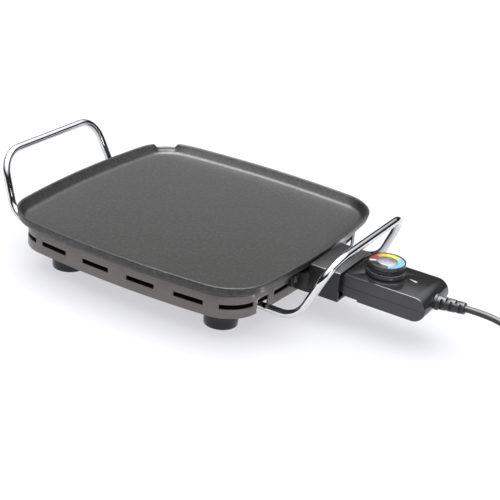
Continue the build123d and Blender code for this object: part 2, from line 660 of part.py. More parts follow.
def build():
    write(griddle_plate(), "griddle_plate")
    write(element_tube(TERMINAL_END), "heating_element")
    write(skirt(), "skirt")
    write(base_pan(), "base_pan")
    rod = handle_rod()
    rods = {"handle_right": rod, "handle_left": Rot(0, 0, 180) * rod}
    for name, shape in rods.items():
        write(shape, name)
    for i, (x, y) in enumerate(foot_places(), 1):
        start, end = (ROD_END, 120) if x > 0 else (-120, -ROD_END)
        bore = lying(ROD_R, start, end, ROD_Y if y > 0 else -ROD_Y, ROD_Z)
        write(Pos(x, y, 0) * foot() - bore, f"foot_{i}")
    screw = foot_screw()
    write(joined([Pos(x, y, 0) * screw for x, y in foot_places()]), "foot_screws")
    write(socket_shroud(), "socket_shroud")
    write(shroud_screws(), "shroud_screws")
    write(earth_blade(), "earth_blade")
    upper, lower = case_halves()
    write(upper, "case_upper")
    write(lower, "case_lower")
    write(case_screws(), "case_screws")
    write(nose_block(), "nose_block")
    write(contact_sleeves(), "contact_sleeves")
    write(probe(), "sensor_tube")
    write(thermostat_frame(), "thermostat_frame")
    write(spindle_bush(), "spindle_bush")
    write(bimetal_strip(), "bimetal_strip")
    write(switch_contacts(), "switch_contacts")
    write(knob(), "knob")
    write(dial_disc(), "dial_disc")
    write(knob_cap(), "knob_cap")
    write(knob_spindle(), "knob_spindle")
    write(strain_relief(), "strain_relief")
    tip = relief_tip()
    write(cord_tube([tuple(tip)] + CORD_ROUTE, "power_cord"), "power_cord")
    write(cord_coil(), "cord_coil")
    write(cord_tie(), "cord_tie")
    write(cord_tube(TAIL_ROUTE, "cord_tail"), "cord_tail")
    write(plug_body(), "plug_body")
    write(plug_pins(), "plug_pins")
    write(plug_earth_clips(), "plug_earth_clips")


build()
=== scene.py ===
"""Electric table griddle: a Blender add-on that models its visible pieces over the CAD frame.

Lengths inside the functions are in millimetres about the middle of the plate, and `place` puts
them into the scene, in metres. The plate's middle is taken from the frame.
"""
import math

import bmesh
import bpy
from bpy.props import FloatProperty, FloatVectorProperty, IntProperty, PointerProperty
from mathutils import Matrix, Vector


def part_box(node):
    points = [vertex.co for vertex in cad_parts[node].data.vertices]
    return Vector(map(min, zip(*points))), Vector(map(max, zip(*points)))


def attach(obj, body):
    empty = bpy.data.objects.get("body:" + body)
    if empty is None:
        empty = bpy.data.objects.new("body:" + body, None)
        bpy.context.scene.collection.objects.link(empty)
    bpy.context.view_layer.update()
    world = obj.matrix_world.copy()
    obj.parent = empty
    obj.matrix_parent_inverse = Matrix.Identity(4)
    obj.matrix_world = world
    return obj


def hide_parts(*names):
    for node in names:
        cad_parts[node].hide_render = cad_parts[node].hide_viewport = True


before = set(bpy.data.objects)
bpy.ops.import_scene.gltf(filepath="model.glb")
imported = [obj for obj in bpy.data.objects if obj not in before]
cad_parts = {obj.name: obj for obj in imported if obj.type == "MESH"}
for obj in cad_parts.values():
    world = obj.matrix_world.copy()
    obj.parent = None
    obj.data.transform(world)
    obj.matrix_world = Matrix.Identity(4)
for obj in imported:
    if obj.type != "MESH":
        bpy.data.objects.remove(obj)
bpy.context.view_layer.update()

bl_info = {
    "name": "Electric table griddle",
    "version": (1, 0, 0),
    "blender": (4, 5, 0),
    "location": "3D View > Sidebar > Griddle",
    "description": "Models an electric table griddle with its controller, dial and cord",
    "category": "Add Mesh",
}

MM = 0.001
PLATE_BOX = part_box("griddle_plate")
MIDDLE_X = (PLATE_BOX[0].x + PLATE_BOX[1].x) / 2
KNOB_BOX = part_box("knob")
KNOB_X = ((KNOB_BOX[0].x + KNOB_BOX[1].x) / 2 - MIDDLE_X) / MM


def to_mm(value):
    """A scene length in millimetres."""
    return value / MM


def place(x, y, z):
    """A point about the plate's middle, in the scene."""
    return Vector((MIDDLE_X + x * MM, y * MM, z * MM))


# ------------------------------------------------------------------ settings

def length(name, description, default_mm):
    return FloatProperty(name=name, description=description, default=default_mm * MM,
                         min=0.0, unit="LENGTH", subtype="DISTANCE", precision=5)


def colour(name, description, default):
    return FloatVectorProperty(name=name, description=description, default=default,
                               subtype="COLOR", size=3, min=0.0, max=1.0)


class GriddlePlateSettings(bpy.types.PropertyGroup):
    half_width: length("Half width", "Half the plate's width across the middle of a side",
                       to_mm(PLATE_BOX[1].x - MIDDLE_X))
    side_bow: length("Side bow", "How far each side bows out", 12.0)
    corner_radius: length("Corner radius", "Radius of the plate's corners", 49.0)
    rim_height: length("Rim height", "Height of the lip above the table", to_mm(PLATE_BOX[1].z))
    tray_depth: length("Tray depth", "Depth of the cooking surface below the lip", 10.0)
    lip_width: length("Lip width", "Width of the lip's flat top", 2.6)
    spout_width: length("Spout width", "Width of the pouring notch at its bottom", 21.0)
    spout_depth: length("Spout depth", "Depth of the pouring notch", 4.0)
    coating: colour("Coating", "Colour of the non-stick coating", (0.017, 0.017, 0.016))
    fleck: colour("Fleck", "Colour of the coating's light flecks", (0.082, 0.082, 0.078))


class GriddleSkirtSettings(bpy.types.PropertyGroup):
    inset: length("Inset", "How far the skirt stands in from the rim", 12.0)
    thickness: length("Thickness", "Thickness of the sheet", 1.2)
    bottom: length("Bottom", "Height of the skirt's lower edge", 26.0)
    slot_width: length("Slot width", "Width of a slot on a long side", 31.4)
    slot_pitch: length("Slot pitch", "Distance between the slots", 52.8)
    enamel: colour("Enamel", "Colour of the skirt", (0.118, 0.108, 0.101))


class GriddleHandleSettings(bpy.types.PropertyGroup):
    rod_radius: length("Rod radius", "Radius of the handles' rod", 4.0)
    top_height: length("Top height", "Height of the grip's centre line", 90.0)
    foot_radius: length("Foot radius", "Radius of a foot", 17.4)
    moulding: colour("Moulding", "Colour of the feet", (0.006, 0.006, 0.007))


class GriddleControllerSettings(bpy.types.PropertyGroup):
    flutes: IntProperty(name="Flutes", description="Number of flutes round the knob", default=54,
                        min=12, max=96)
    knob_radius: length("Knob radius", "Radius of the knob at its rim", 18.3)
    shell_side: colour("Shell side", "Colour of the case's satin sides", (0.038, 0.038, 0.040))
    knob: colour("Knob", "Colour of the knob", (0.020, 0.020, 0.021))
    shell: colour("Shell", "Colour of the controller and the socket", (0.024, 0.024, 0.025))
    dial_off: colour("Off", "Dial colour of the off sector", (0.012, 0.012, 0.014))
    dial_cool: colour("Cool", "Dial colour of the coolest range", (0.24, 0.52, 0.83))
    dial_low: colour("Low", "Dial colour of the low range", (0.56, 0.68, 0.06))
    dial_warm: colour("Warm", "Dial colour of the middle range", (0.84, 0.68, 0.08))
    dial_amber: colour("Amber", "Dial colour between warm and high", (0.84, 0.48, 0.03))
    dial_high: colour("High", "Dial colour of the high range", (0.78, 0.25, 0.08))
    dial_hot: colour("Hot", "Dial colour of the hottest range", (0.27, 0.045, 0.032))


class GriddleCordSettings(bpy.types.PropertyGroup):
    cord_radius: length("Cord radius", "Radius of the mains cord", 3.3)
    coil_radius: length("Coil radius", "Radius of the coil at the middle of its turns", 37.8)
    rubber: colour("Rubber", "Colour of the cord, its sleeve and the plug", (0.016, 0.016, 0.017))


class GriddleStageSettings(bpy.types.PropertyGroup):
    camera_distance: length("Camera distance", "Distance from the camera to its target", 1256.76)
    focal_length: FloatProperty(name="Focal length", description="The camera's lens, in millimetres",
                                default=93.617, min=10.0, unit="CAMERA")
    azimuth: FloatProperty(name="Azimuth", description="The camera's turn about the griddle",
                           default=math.radians(28.734), subtype="ANGLE")
    elevation: FloatProperty(name="Elevation", description="The camera's height above the table",
                             default=math.radians(24.848), subtype="ANGLE")
    roll: FloatProperty(name="Roll", description="The camera's turn about its own line of sight",
                        default=0.10326, subtype="ANGLE")
    floor: colour("Floor", "Colour of the floor", (0.30, 0.30, 0.31))


# ------------------------------------------------------------------ modelling helpers

def deselect():
    if bpy.context.object and bpy.context.object.mode != "OBJECT":
        bpy.ops.object.mode_set(mode="OBJECT")
    bpy.ops.object.select_all(action="DESELECT")


def pick(piece):
    """Make one piece the only selected one."""
    deselect()
    piece.select_set(True)
    bpy.context.view_layer.objects.active = piece


def open_mesh(piece):
    """Start to edit a piece, by its points."""
    pick(piece)
    bpy.ops.object.mode_set(mode="EDIT")
    bpy.ops.mesh.select_mode(type="VERT")
    return bmesh.from_edit_mesh(piece.data)


def open_all(piece):
    """Start to edit a piece with all of it selected."""
    open_mesh(piece)
    bpy.ops.mesh.select_all(action="SELECT")


def choose(piece, faces=None, edges=None):
    """Select, in edit mode, only the elements that pass a test, given in millimetres."""
    bpy.ops.mesh.select_all(action="DESELECT")
    mesh = bmesh.from_edit_mesh(piece.data)
    if faces:
        bpy.ops.mesh.select_mode(type="FACE")
        for face in mesh.faces:
            face.select_set(faces(local(face.calc_center_median()), face.normal))
    if edges:
        bpy.ops.mesh.select_mode(type="EDGE")
        for edge in mesh.edges:
            edge.select_set(edges(local(edge.verts[0].co), local(edge.verts[1].co)))
    mesh.select_flush_mode()
    bmesh.update_edit_mesh(piece.data)


def local(point):
    """A scene point in millimetres about the plate's middle."""
    return Vector(((point.x - MIDDLE_X) / MM, point.y / MM, point.z / MM))


def close_mesh():
    bpy.ops.object.mode_set(mode="OBJECT")


def mend(piece):
    """Merge doubled points and turn all faces outwards."""
    open_all(piece)
    bpy.ops.mesh.remove_doubles(threshold=0.01 * MM)
    bpy.ops.mesh.normals_make_consistent(inside=False)
    close_mesh()


def apply(piece, modifier):
    """Make one of a piece's modifiers part of its mesh."""
    pick(piece)
    bpy.ops.object.modifier_apply(modifier=modifier.name)


def fix_place(piece):
    """Put a piece's place and turn into its mesh."""
    pick(piece)
    bpy.ops.object.transform_apply(location=True, rotation=True, scale=True)


def brick(x0, x1, y0, y1, z0, z1):
    """A block between two corners, to be shaped further."""
    deselect()
    bpy.ops.mesh.primitive_cube_add(size=1, location=place((x0 + x1) / 2, (y0 + y1) / 2, (z0 + z1) / 2))
    piece = bpy.context.object
    piece.scale = ((x1 - x0) * MM, (y1 - y0) * MM, (z1 - z0) * MM)
    fix_place(piece)
    return piece


def rod_shape(radius, start, end):
    """A round bar between two points, to be shaped further."""
    deselect()
    start, end = place(*start), place(*end)
    bpy.ops.mesh.primitive_cylinder_add(vertices=32, radius=radius * MM, depth=(end - start).length,
                                        location=(start + end) / 2)
    piece = bpy.context.object
    piece.rotation_mode = "QUATERNION"
    piece.rotation_quaternion = (end - start).to_track_quat("Z", "Y")
    fix_place(piece)
    return piece


def flat_curve(points, closed, resolution):
    """A curve through (point, left handle, right handle) triples, given in the scene."""
    deselect()
    curve = bpy.data.curves.new("outline", "CURVE")
    curve.dimensions = "3D"
    curve.resolution_u = resolution
    spline = curve.splines.new("BEZIER")
    spline.bezier_points.add(len(points) - 1)
    for knot, (point, left, right) in zip(spline.bezier_points, points):
        knot.co, knot.handle_left, knot.handle_right = point, left, right
    spline.use_cyclic_u = closed
    outline = bpy.data.objects.new("outline", curve)
    bpy.context.collection.objects.link(outline)
    return outline


def to_mesh(outline):
    pick(outline)
    bpy.ops.object.convert(target="MESH")
    return bpy.context.object


def line_mesh(points):
    """Straight edges through points given in the scene, as a mesh."""
    return to_mesh(flat_curve([(p, p, p) for p in points], False, 1))


def bowed_outline(half, bow, corner, inset, z, resolution):
    """A ring of edges: a square with bowed sides and round corners, moved in by an inset."""
    side = (half ** 2 + bow ** 2) / (2 * bow)
    side_x = half - side
    corner_x = (side_x + math.sqrt(2 * (side - corner) ** 2 - side_x ** 2)) / 2
    turn = math.atan2(corner_x, corner_x - side_x)
    points = []
    for quarter in range(4):
        base = quarter * math.pi / 2
        for angle, left, right in ((-turn, corner, side), (turn, side, corner)):
            centre = Matrix.Rotation(base, 2) @ Vector((side_x, 0))
            reach = side - inset
            along = base + angle
            point = centre + reach * Vector((math.cos(along), math.sin(along)))
            tangent = Vector((-math.sin(along), math.cos(along)))
            grip = {side: 4 / 3 * math.tan(2 * turn / 4) * (side - inset),
                    corner: 4 / 3 * math.tan((math.pi / 2 - 2 * turn) / 4) * (corner - inset)}
            before, after = point - grip[left] * tangent, point + grip[right] * tangent
            points.append([place(*p, z) for p in (point, before, after)])
    return to_mesh(flat_curve(points, True, resolution))


def join(pieces):
    """Join pieces into the first of them."""
    pick(pieces[0])
    for piece in pieces:
        piece.select_set(True)
    bpy.ops.object.join()
    return bpy.context.object


def choose_points(piece, first, last):
    """Select, in edit mode, a run of a piece's points."""
    mesh = bmesh.from_edit_mesh(piece.data)
    bpy.ops.mesh.select_all(action="DESELECT")
    mesh.verts.ensure_lookup_table()
    for vert in mesh.verts[first:last]:
        vert.select = True
    mesh.select_flush_mode()


def lofted(rings, weights, width, segments):
    """A closed skin over rings of edges. Each ring's edge is rounded by its weight times width."""
    count = len(rings[0].data.vertices)
    total = len(rings)
    skin = join(rings)
    open_mesh(skin)
    for i in range(total - 1):
        choose_points(skin, i * count, (i + 2) * count)
        bpy.ops.mesh.bridge_edge_loops()
    for first in (0, (total - 1) * count):
        choose_points(skin, first, first + count)
        bpy.ops.mesh.edge_face_add()
    bpy.ops.mesh.select_all(action="SELECT")
    bpy.ops.mesh.normals_make_consistent(inside=False)
    close_mesh()
    grade = skin.data.attributes.new("bevel_weight_edge", "FLOAT", "EDGE")
    for edge in skin.data.edges:
        a, b = (v // count for v in edge.vertices)
        grade.data[edge.index].value = weights[a] if a == b else 0.0
    rounding = skin.modifiers.new("rounding", "BEVEL")
    rounding.limit_method = "WEIGHT"
    rounding.width = width * MM
    rounding.segments = segments
    rounding.use_clamp_overlap = True
    apply(skin, rounding)
    return skin


def turned(profile, centre, axis=(0, 0, 1), steps=64):
    """A shape turned from a profile of (radius, distance along the axis) points."""
    axis = Vector(axis).normalized()
    side = axis.orthogonal().normalized()
    centre = place(*centre)
    piece = line_mesh([centre + side * (r * MM) + axis * (h * MM) for r, h in profile])
    open_all(piece)
    bpy.ops.mesh.spin(steps=steps, angle=math.tau, center=centre, axis=axis)
    close_mesh()
    mend(piece)
    return piece


def soften(piece, width, angle):
    """Round the edges of a piece that are sharper than an angle."""
    rounding = piece.modifiers.new("rounding", "BEVEL")
    rounding.limit_method = "ANGLE"
    rounding.angle_limit = math.radians(angle)
    rounding.width = width * MM
    rounding.segments = 2
    apply(piece, rounding)


def round_along_x(piece, radius, segments):
    """Round the edges of a piece that run along X."""
    open_mesh(piece)
    choose(piece, edges=lambda a, b: abs(a.x - b.x) > 1)
    bpy.ops.mesh.bevel(offset=radius * MM, segments=segments)
    close_mesh()


def carve(piece, tools):
    """Cut tools out of a piece and drop them."""
    tool = join(tools) if len(tools) > 1 else tools[0]
    cut = piece.modifiers.new("cut", "BOOLEAN")
    cut.operation, cut.solver, cut.object = "DIFFERENCE", "MANIFOLD", tool
    apply(piece, cut)
    bpy.data.objects.remove(tool)


def twin(piece, turn=0.0, shift=(0.0, 0.0, 0.0)):
    """A copy of a piece with its own mesh, turned about the plate's middle and shifted."""
    copy = piece.copy()
    copy.data = piece.data.copy()
    bpy.context.collection.objects.link(copy)
    pivot = Matrix.Translation(place(0, 0, 0))
    offset = Matrix.Translation(Vector(shift) * MM)
    copy.matrix_world = offset @ pivot @ Matrix.Rotation(turn, 4, "Z") @ pivot.inverted()
    fix_place(copy)
    return copy


def finish(piece, name, body, material, nodes=(), angle=38.0):
    """Name a piece, shade and finish it, and fasten it to its body."""
    piece.name = piece.data.name = name
    fix_place(piece)
    piece.data.materials.clear()
    piece.data.materials.append(material)
    for face in piece.data.polygons:
        face.material_index = 0
    pick(piece)
    bpy.ops.object.shade_smooth_by_angle(angle=math.radians(angle))
    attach(piece, body)
    if nodes:
        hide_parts(*nodes)


def refinish(material, *nodes):
    """Give CAD nodes whose shape is right their material."""
    for name in nodes:
        node_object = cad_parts[name]
        if not node_object.material_slots:
            node_object.data.materials.append(material)
        for slot in node_object.material_slots:
            slot.material = material


# ------------------------------------------------------------------ materials

def fill(tree, made, inputs):
    """Set a node's inputs by value, or link them where a socket is given."""
    for key, value in inputs.items():
        if isinstance(value, bpy.types.NodeSocket):
            tree.links.new(value, made.inputs[key])
        else:
            made.inputs[key].default_value = value


def node(tree, kind, inputs=None, **settings):
    made = tree.nodes.new(kind)
    for key, value in settings.items():
        setattr(made, key, value)
    fill(tree, made, inputs or {})
    return made


def maths(tree, operation, first, second=0.0):
    return node(tree, "ShaderNodeMath", {0: first, 1: second}, operation=operation).outputs[0]


def spread(tree, value, start, end, low=0.0, high=1.0, **settings):
    """Carry a value from one range over to another, without passing its ends."""
    return node(tree, "ShaderNodeMapRange", {"Value": value, "From Min": start, "From Max": end,
                                             "To Min": low, "To Max": high}, **settings).outputs["Result"]


def blend(tree, amount, under, over):
    """One colour laid over another by an amount."""
    return node(tree, "ShaderNodeMixRGB", {"Fac": amount, "Color1": under, "Color2": over}).outputs[0]


def noise(tree, where, scale, detail, **more):
    inputs = {"Vector": where, "Scale": scale, "Detail": detail}
    return node(tree, "ShaderNodeTexNoise", inputs | more).outputs["Fac"]


def facing(tree, axis):
    """How far a face looks along an axis, from -1 to 1."""
    normal = node(tree, "ShaderNodeNewGeometry").outputs["Normal"]
    return node(tree, "ShaderNodeSeparateXYZ", {0: normal}).outputs[axis]


VALUE, COLOUR, VECTOR = "NodeSocketFloat", "NodeSocketColor", "NodeSocketVector"


def group(name, inputs, outputs):
    """A shader node group with named inputs and outputs, and its two end nodes."""
    tree = bpy.data.node_groups.new(name, "ShaderNodeTree")
    for label, kind, default in inputs:
        socket = tree.interface.new_socket(name=label, in_out="INPUT", socket_type=kind)
        if default is not None:
            socket.default_value = default
    for label, kind in outputs:
        tree.interface.new_socket(name=label, in_out="OUTPUT", socket_type=kind)
    return tree, tree.nodes.new("NodeGroupInput").outputs, tree.nodes.new("NodeGroupOutput")


def fleck_group():
    """Fine flecks of two sizes, as a mask, and the fine grain under them, as a height."""
    tree, given, out = group("flecks", [("Vector", VECTOR, None), ("Scale", VALUE, 900.0),
                                        ("Amount", VALUE, 0.5)], [("Mask", VALUE), ("Height", VALUE)])
    fine = noise(tree, given["Vector"], given["Scale"], 2.0)
    coarse = noise(tree, given["Vector"], maths(tree, "MULTIPLY", given["Scale"], 0.31), 3.0)
    both = maths(tree, "ADD", fine, coarse)
    mask = maths(tree, "MULTIPLY", spread(tree, both, 0.96, 1.32), given["Amount"])
    fill(tree, out, {"Mask": mask, "Height": both})
    return tree


def grain_group():
    """The fine pebbled grain of a moulded surface, as a height."""
    tree, given, out = group("moulded grain", [("Vector", VECTOR, None), ("Scale", VALUE, 1200.0)],
                             [("Height", VALUE)])
    cells = node(tree, "ShaderNodeTexVoronoi", {"Vector": given["Vector"], "Scale": given["Scale"]},
                 feature="SMOOTH_F1").outputs["Distance"]
    haze = noise(tree, given["Vector"], given["Scale"], 2.0)
    fill(tree, out, {"Height": maths(tree, "ADD", cells, haze)})
    return tree


def marks_group():
    """Handling marks: roughness that wanders between two values."""
    tree, given, out = group("handling marks", [("Vector", VECTOR, None), ("Scale", VALUE, 40.0),
                                                ("Clean", VALUE, 0.1), ("Marked", VALUE, 0.3)],
                             [("Roughness", VALUE)])
    smear = noise(tree, given["Vector"], given["Scale"], 5.0, Roughness=0.62, Distortion=0.6)
    fill(tree, out, {"Roughness": spread(tree, smear, 0.35, 0.72, given["Clean"], given["Marked"])})
    return tree


def dust_group():
    """A little dust on upward faces and a slow change of shade, over a base colour."""
    tree, given, out = group("dust", [("Vector", VECTOR, None), ("Base", COLOUR, None),
                                      ("Dust", COLOUR, (0.35, 0.34, 0.32, 1.0)),
                                      ("Amount", VALUE, 0.05), ("Shade", VALUE, 0.12)],
                             [("Color", COLOUR)])
    up = spread(tree, facing(tree, "Z"), 0.2, 1.0)
    patch = noise(tree, given["Vector"], 60.0, 6.0, Roughness=0.7)
    amount = maths(tree, "MULTIPLY", maths(tree, "MULTIPLY", up, patch), given["Amount"])
    slow = spread(tree, noise(tree, given["Vector"], 14.0, 2.0), 0.3, 0.7, 0.0, given["Shade"])
    shaded = blend(tree, slow, given["Base"], (0.0, 0.0, 0.0, 1.0))
    fill(tree, out, {"Color": blend(tree, amount, shaded, given["Dust"])})
    return tree


def drawn_group():
    """Fine lines left by drawing or brushing along one axis, as a height and a roughness."""
    tree, given, out = group("drawn lines", [("Vector", VECTOR, None),
                                             ("Scale", VECTOR, (20.0, 2000.0, 2000.0)),
                                             ("Smooth", VALUE, 0.15), ("Rough", VALUE, 0.35)],
                             [("Height", VALUE), ("Roughness", VALUE)])
    stretched = node(tree, "ShaderNodeVectorMath", {0: given["Vector"], 1: given["Scale"]},
                     operation="MULTIPLY").outputs[0]
    lines = noise(tree, stretched, 1.0, 3.0)
    fill(tree, out, {"Height": lines,
                     "Roughness": spread(tree, lines, 0.3, 0.7, given["Smooth"], given["Rough"])})
    return tree


def sides_group():
    """1 on faces that look along Y, 0 elsewhere."""
    tree, _, out = group("side faces", [], [("Mask", VALUE)])
    size = maths(tree, "ABSOLUTE", facing(tree, "Y"))
    fill(tree, out, {"Mask": spread(tree, size, 0.75, 0.95)})
    return tree


MAKERS = {"flecks": fleck_group, "grain": grain_group, "marks": marks_group, "dust": dust_group,
          "drawn": drawn_group, "sides": sides_group}
EFFECTS = {}


def effect(tree, name, **inputs):
    """Place one of the shared effects in a material."""
    if name not in EFFECTS:
        EFFECTS[name] = MAKERS[name]()
    made = node(tree, "ShaderNodeGroup", node_tree=EFFECTS[name])
    fill(tree, made, inputs)
    return made.outputs


def start_material(name, **constants):
    """A material with its Principled shader; returns material, tree, shader and object coordinates."""
    material = bpy.data.materials.new(name)
    material.use_nodes = True
    tree = material.node_tree
    shader = tree.nodes["Principled BSDF"]
    fill(tree, shader, {key.replace("_", " "): value for key, value in constants.items()})
    where = tree.nodes.new("ShaderNodeTexCoord").outputs["Object"]
    return material, tree, shader, where


def bump(tree, height, distance_mm, strength):
    return node(tree, "ShaderNodeBump", {"Height": height, "Distance": distance_mm * MM,
                                         "Strength": strength}).outputs["Normal"]


def rgba(value):
    return (*value, 1.0)


def coating_material(settings):
    """Speckled non-stick coating, painted near-black underneath as painted shade under the plate."""
    material, tree, shader, where = start_material("nonstick", Specular_IOR_Level=0.36)
    specks = effect(tree, "flecks", Vector=where, Scale=900.0, Amount=0.62)
    base = effect(tree, "dust", Vector=where, Base=rgba(settings.coating), Amount=0.03, Shade=0.10)
    top = blend(tree, specks["Mask"], base["Color"], rgba(settings.fleck))
    # downward faces get painted shade: near-black, standing in for the dark under the plate
    under = maths(tree, "LESS_THAN", facing(tree, "Z"), -0.7)
    fill(tree, shader, {"Base Color": blend(tree, under, top, (0.006, 0.006, 0.006, 1.0)),
                        "Roughness": spread(tree, specks["Mask"], 0.0, 1.0, 0.36, 0.24),
                        "Normal": bump(tree, specks["Height"], 0.10, 0.45)})
    return material


def inner_mask(tree, where):
    """1 on faces that look in towards the plate's middle, 0 elsewhere: where the skirt gets its painted
    shade.
    """
    normal = node(tree, "ShaderNodeNewGeometry").outputs["Normal"]
    centred = node(tree, "ShaderNodeMapping", {"Vector": where, "Location": -place(0, 0, 0),
                                               "Scale": (1.0, 1.0, 0.0)}).outputs[0]
    outward = node(tree, "ShaderNodeVectorMath", {0: centred, 1: normal}, operation="DOT_PRODUCT")
    return maths(tree, "LESS_THAN", outward.outputs["Value"], -0.05)


def enamel_material(settings):
    """Grey-brown metallic enamel, painted near-black on the inside as painted shade within the skirt."""
    material, tree, shader, where = start_material("skirt_paint", Metallic=0.55, Coat_Roughness=0.22,
                                                   Coat_Weight=0.35)
    specks = effect(tree, "flecks", Vector=where, Scale=1700.0, Amount=0.35)
    base = effect(tree, "dust", Vector=where, Base=rgba(settings.enamel), Amount=0.03, Shade=0.08)
    light = rgba([c * 1.6 for c in settings.enamel])
    outside = blend(tree, specks["Mask"], base["Color"], light)
    worn = effect(tree, "marks", Vector=where, Scale=30.0, Clean=0.38, Marked=0.48)
    # inside faces get painted shade: near-black, standing in for the dark seen through the slots
    fill(tree, shader, {"Base Color": blend(tree, inner_mask(tree, where), outside,
                                            (0.004, 0.004, 0.004, 1.0)),
                        "Roughness": worn["Roughness"],
                        "Normal": bump(tree, specks["Height"], 0.02, 0.4)})
    return material


def bright_metal(name, base, smooth, rough, lines):
    """Plated or drawn metal with fine lines and handling marks."""
    material, tree, shader, where = start_material(name, Metallic=1.0)
    fine = effect(tree, "drawn", Vector=where, Scale=lines, Smooth=smooth, Rough=rough)
    shade = effect(tree, "dust", Vector=where, Base=rgba(base), Amount=0.02, Shade=0.06)
    fill(tree, shader, {"Base Color": shade["Color"], "Roughness": fine["Roughness"],
                        "Normal": bump(tree, fine["Height"], 0.01, 0.3)})
    return material


def chrome_material():
    """Polished chrome with faint handling marks."""
    material, tree, shader, where = start_material("chrome", Metallic=1.0)
    shade = effect(tree, "dust", Vector=where, Base=(0.66, 0.66, 0.68, 1.0), Amount=0.01, Shade=0.04)
    worn = effect(tree, "marks", Vector=where, Scale=60.0, Clean=0.035, Marked=0.075)
    fill(tree, shader, {"Base Color": shade["Color"], "Roughness": worn["Roughness"]})
    return material


def plastic_material(name, base, clean, marked, grain_scale, grain_depth, dust=0.04):
    """Moulded plastic: base colour, roughness range, and how coarse and deep its grain is."""
    material, tree, shader, where = start_material(name, Specular_IOR_Level=0.5)
    shade = effect(tree, "dust", Vector=where, Base=rgba(base), Amount=dust, Shade=0.15)
    worn = effect(tree, "marks", Vector=where, Scale=45.0, Clean=clean, Marked=marked)
    pebbles = effect(tree, "grain", Vector=where, Scale=grain_scale)
    fill(tree, shader, {"Base Color": shade["Color"], "Roughness": worn["Roughness"],
                        "Normal": bump(tree, pebbles["Height"], grain_depth, 0.5)})
    return material


def dial_material(settings):
    """Printed colour scale in sectors, about the knob's axis."""
    material, tree, shader, where = start_material("dial_print", Specular_IOR_Level=0.5)
    centred = node(tree, "ShaderNodeMapping", {"Vector": where, "Location": -place(KNOB_X, 0, 0)})
    angle = node(tree, "ShaderNodeTexGradient", {"Vector": centred.outputs[0]}, gradient_type="RADIAL")
    ramp = node(tree, "ShaderNodeValToRGB", {"Fac": angle.outputs["Fac"]})
    ramp.color_ramp.interpolation = "CONSTANT"
    pale = (0.75, 0.76, 0.78)
    stops = [(-180.0, settings.dial_hot), (-160.0, pale), (-145.0, settings.dial_off),
             (-62.0, settings.dial_cool), (60.0, settings.dial_low), (82.0, settings.dial_warm),
             (114.0, settings.dial_amber), (140.0, settings.dial_high), (156.0, settings.dial_hot)]
    marks = ramp.color_ramp.elements
    while len(marks) < len(stops):
        marks.new(0.5)
    for mark, (degrees, tint) in zip(marks, stops):
        mark.position = degrees / 360 + 0.5
        mark.color = rgba(tint)
    dots = effect(tree, "grain", Vector=where, Scale=1500.0)
    shade = effect(tree, "dust", Vector=where, Base=ramp.outputs["Color"], Amount=0.03, Shade=0.06)
    worn = effect(tree, "marks", Vector=where, Scale=120.0, Clean=0.22, Marked=0.36)
    fill(tree, shader, {"Base Color": shade["Color"], "Roughness": worn["Roughness"],
                        "Normal": bump(tree, dots["Height"], 0.01, 0.3)})
    return material


def index_mark(tree, where, spot, turn, half_length, half_width):
    """A printed wedge on an upward face, widest at its far end: 1 inside it and 0 outside."""
    there = node(tree, "ShaderNodeMapping", {"Vector": where, "Location": place(*spot),
                                             "Rotation": (0.0, 0.0, turn)}, vector_type="TEXTURE")
    split = node(tree, "ShaderNodeSeparateXYZ", {0: there.outputs[0]}).outputs
    reach = spread(tree, split["X"], -half_length * MM, half_length * MM,
                   0.35 * half_width * MM, half_width * MM)
    within = [maths(tree, "LESS_THAN", maths(tree, "ABSOLUTE", split[axis]), limit)
              for axis, limit in (("X", half_length * MM), ("Y", reach), ("Z", MM))]
    return maths(tree, "MULTIPLY", maths(tree, "MULTIPLY", within[0], within[1]), within[2])


def case_material(name, settings, mark):
    """Controller shell: polished black with satin grey sides, and the dial's printed index mark."""
    material, tree, shader, where = start_material(name, Specular_IOR_Level=0.5)
    sides = effect(tree, "sides")["Mask"]
    shade = blend(tree, sides, rgba(settings.shell), rgba(settings.shell_side))
    shade = effect(tree, "dust", Vector=where, Base=shade, Amount=0.02, Shade=0.18)["Color"]
    polished = effect(tree, "marks", Vector=where, Scale=45.0, Clean=0.09, Marked=0.17)
    satin = effect(tree, "marks", Vector=where, Scale=60.0, Clean=0.40, Marked=0.52)
    rough = node(tree, "ShaderNodeMix", {0: sides, 2: polished["Roughness"], 3: satin["Roughness"]})
    if mark:
        dash = index_mark(tree, where, (243.6, 3.7, 59.4), math.radians(-13.0), 4.2, 1.3)
        shade = blend(tree, dash, shade, (0.72, 0.72, 0.72, 1.0))
    pebbles = effect(tree, "grain", Vector=where, Scale=1300.0)
    height = maths(tree, "MULTIPLY", pebbles["Height"], sides)
    fill(tree, shader, {"Base Color": shade, "Roughness": rough.outputs[0],
                        "Normal": bump(tree, height, 0.03, 0.5)})
    return material


# ------------------------------------------------------------------ plate, skirt, feet, handles

CASTING = 5.0  # thickness of the plate under its tray


def plate_ring(settings, inset, z, resolution=36):
    return bowed_outline(to_mm(settings.half_width), to_mm(settings.side_bow),
                         to_mm(settings.corner_radius), inset, z, resolution)


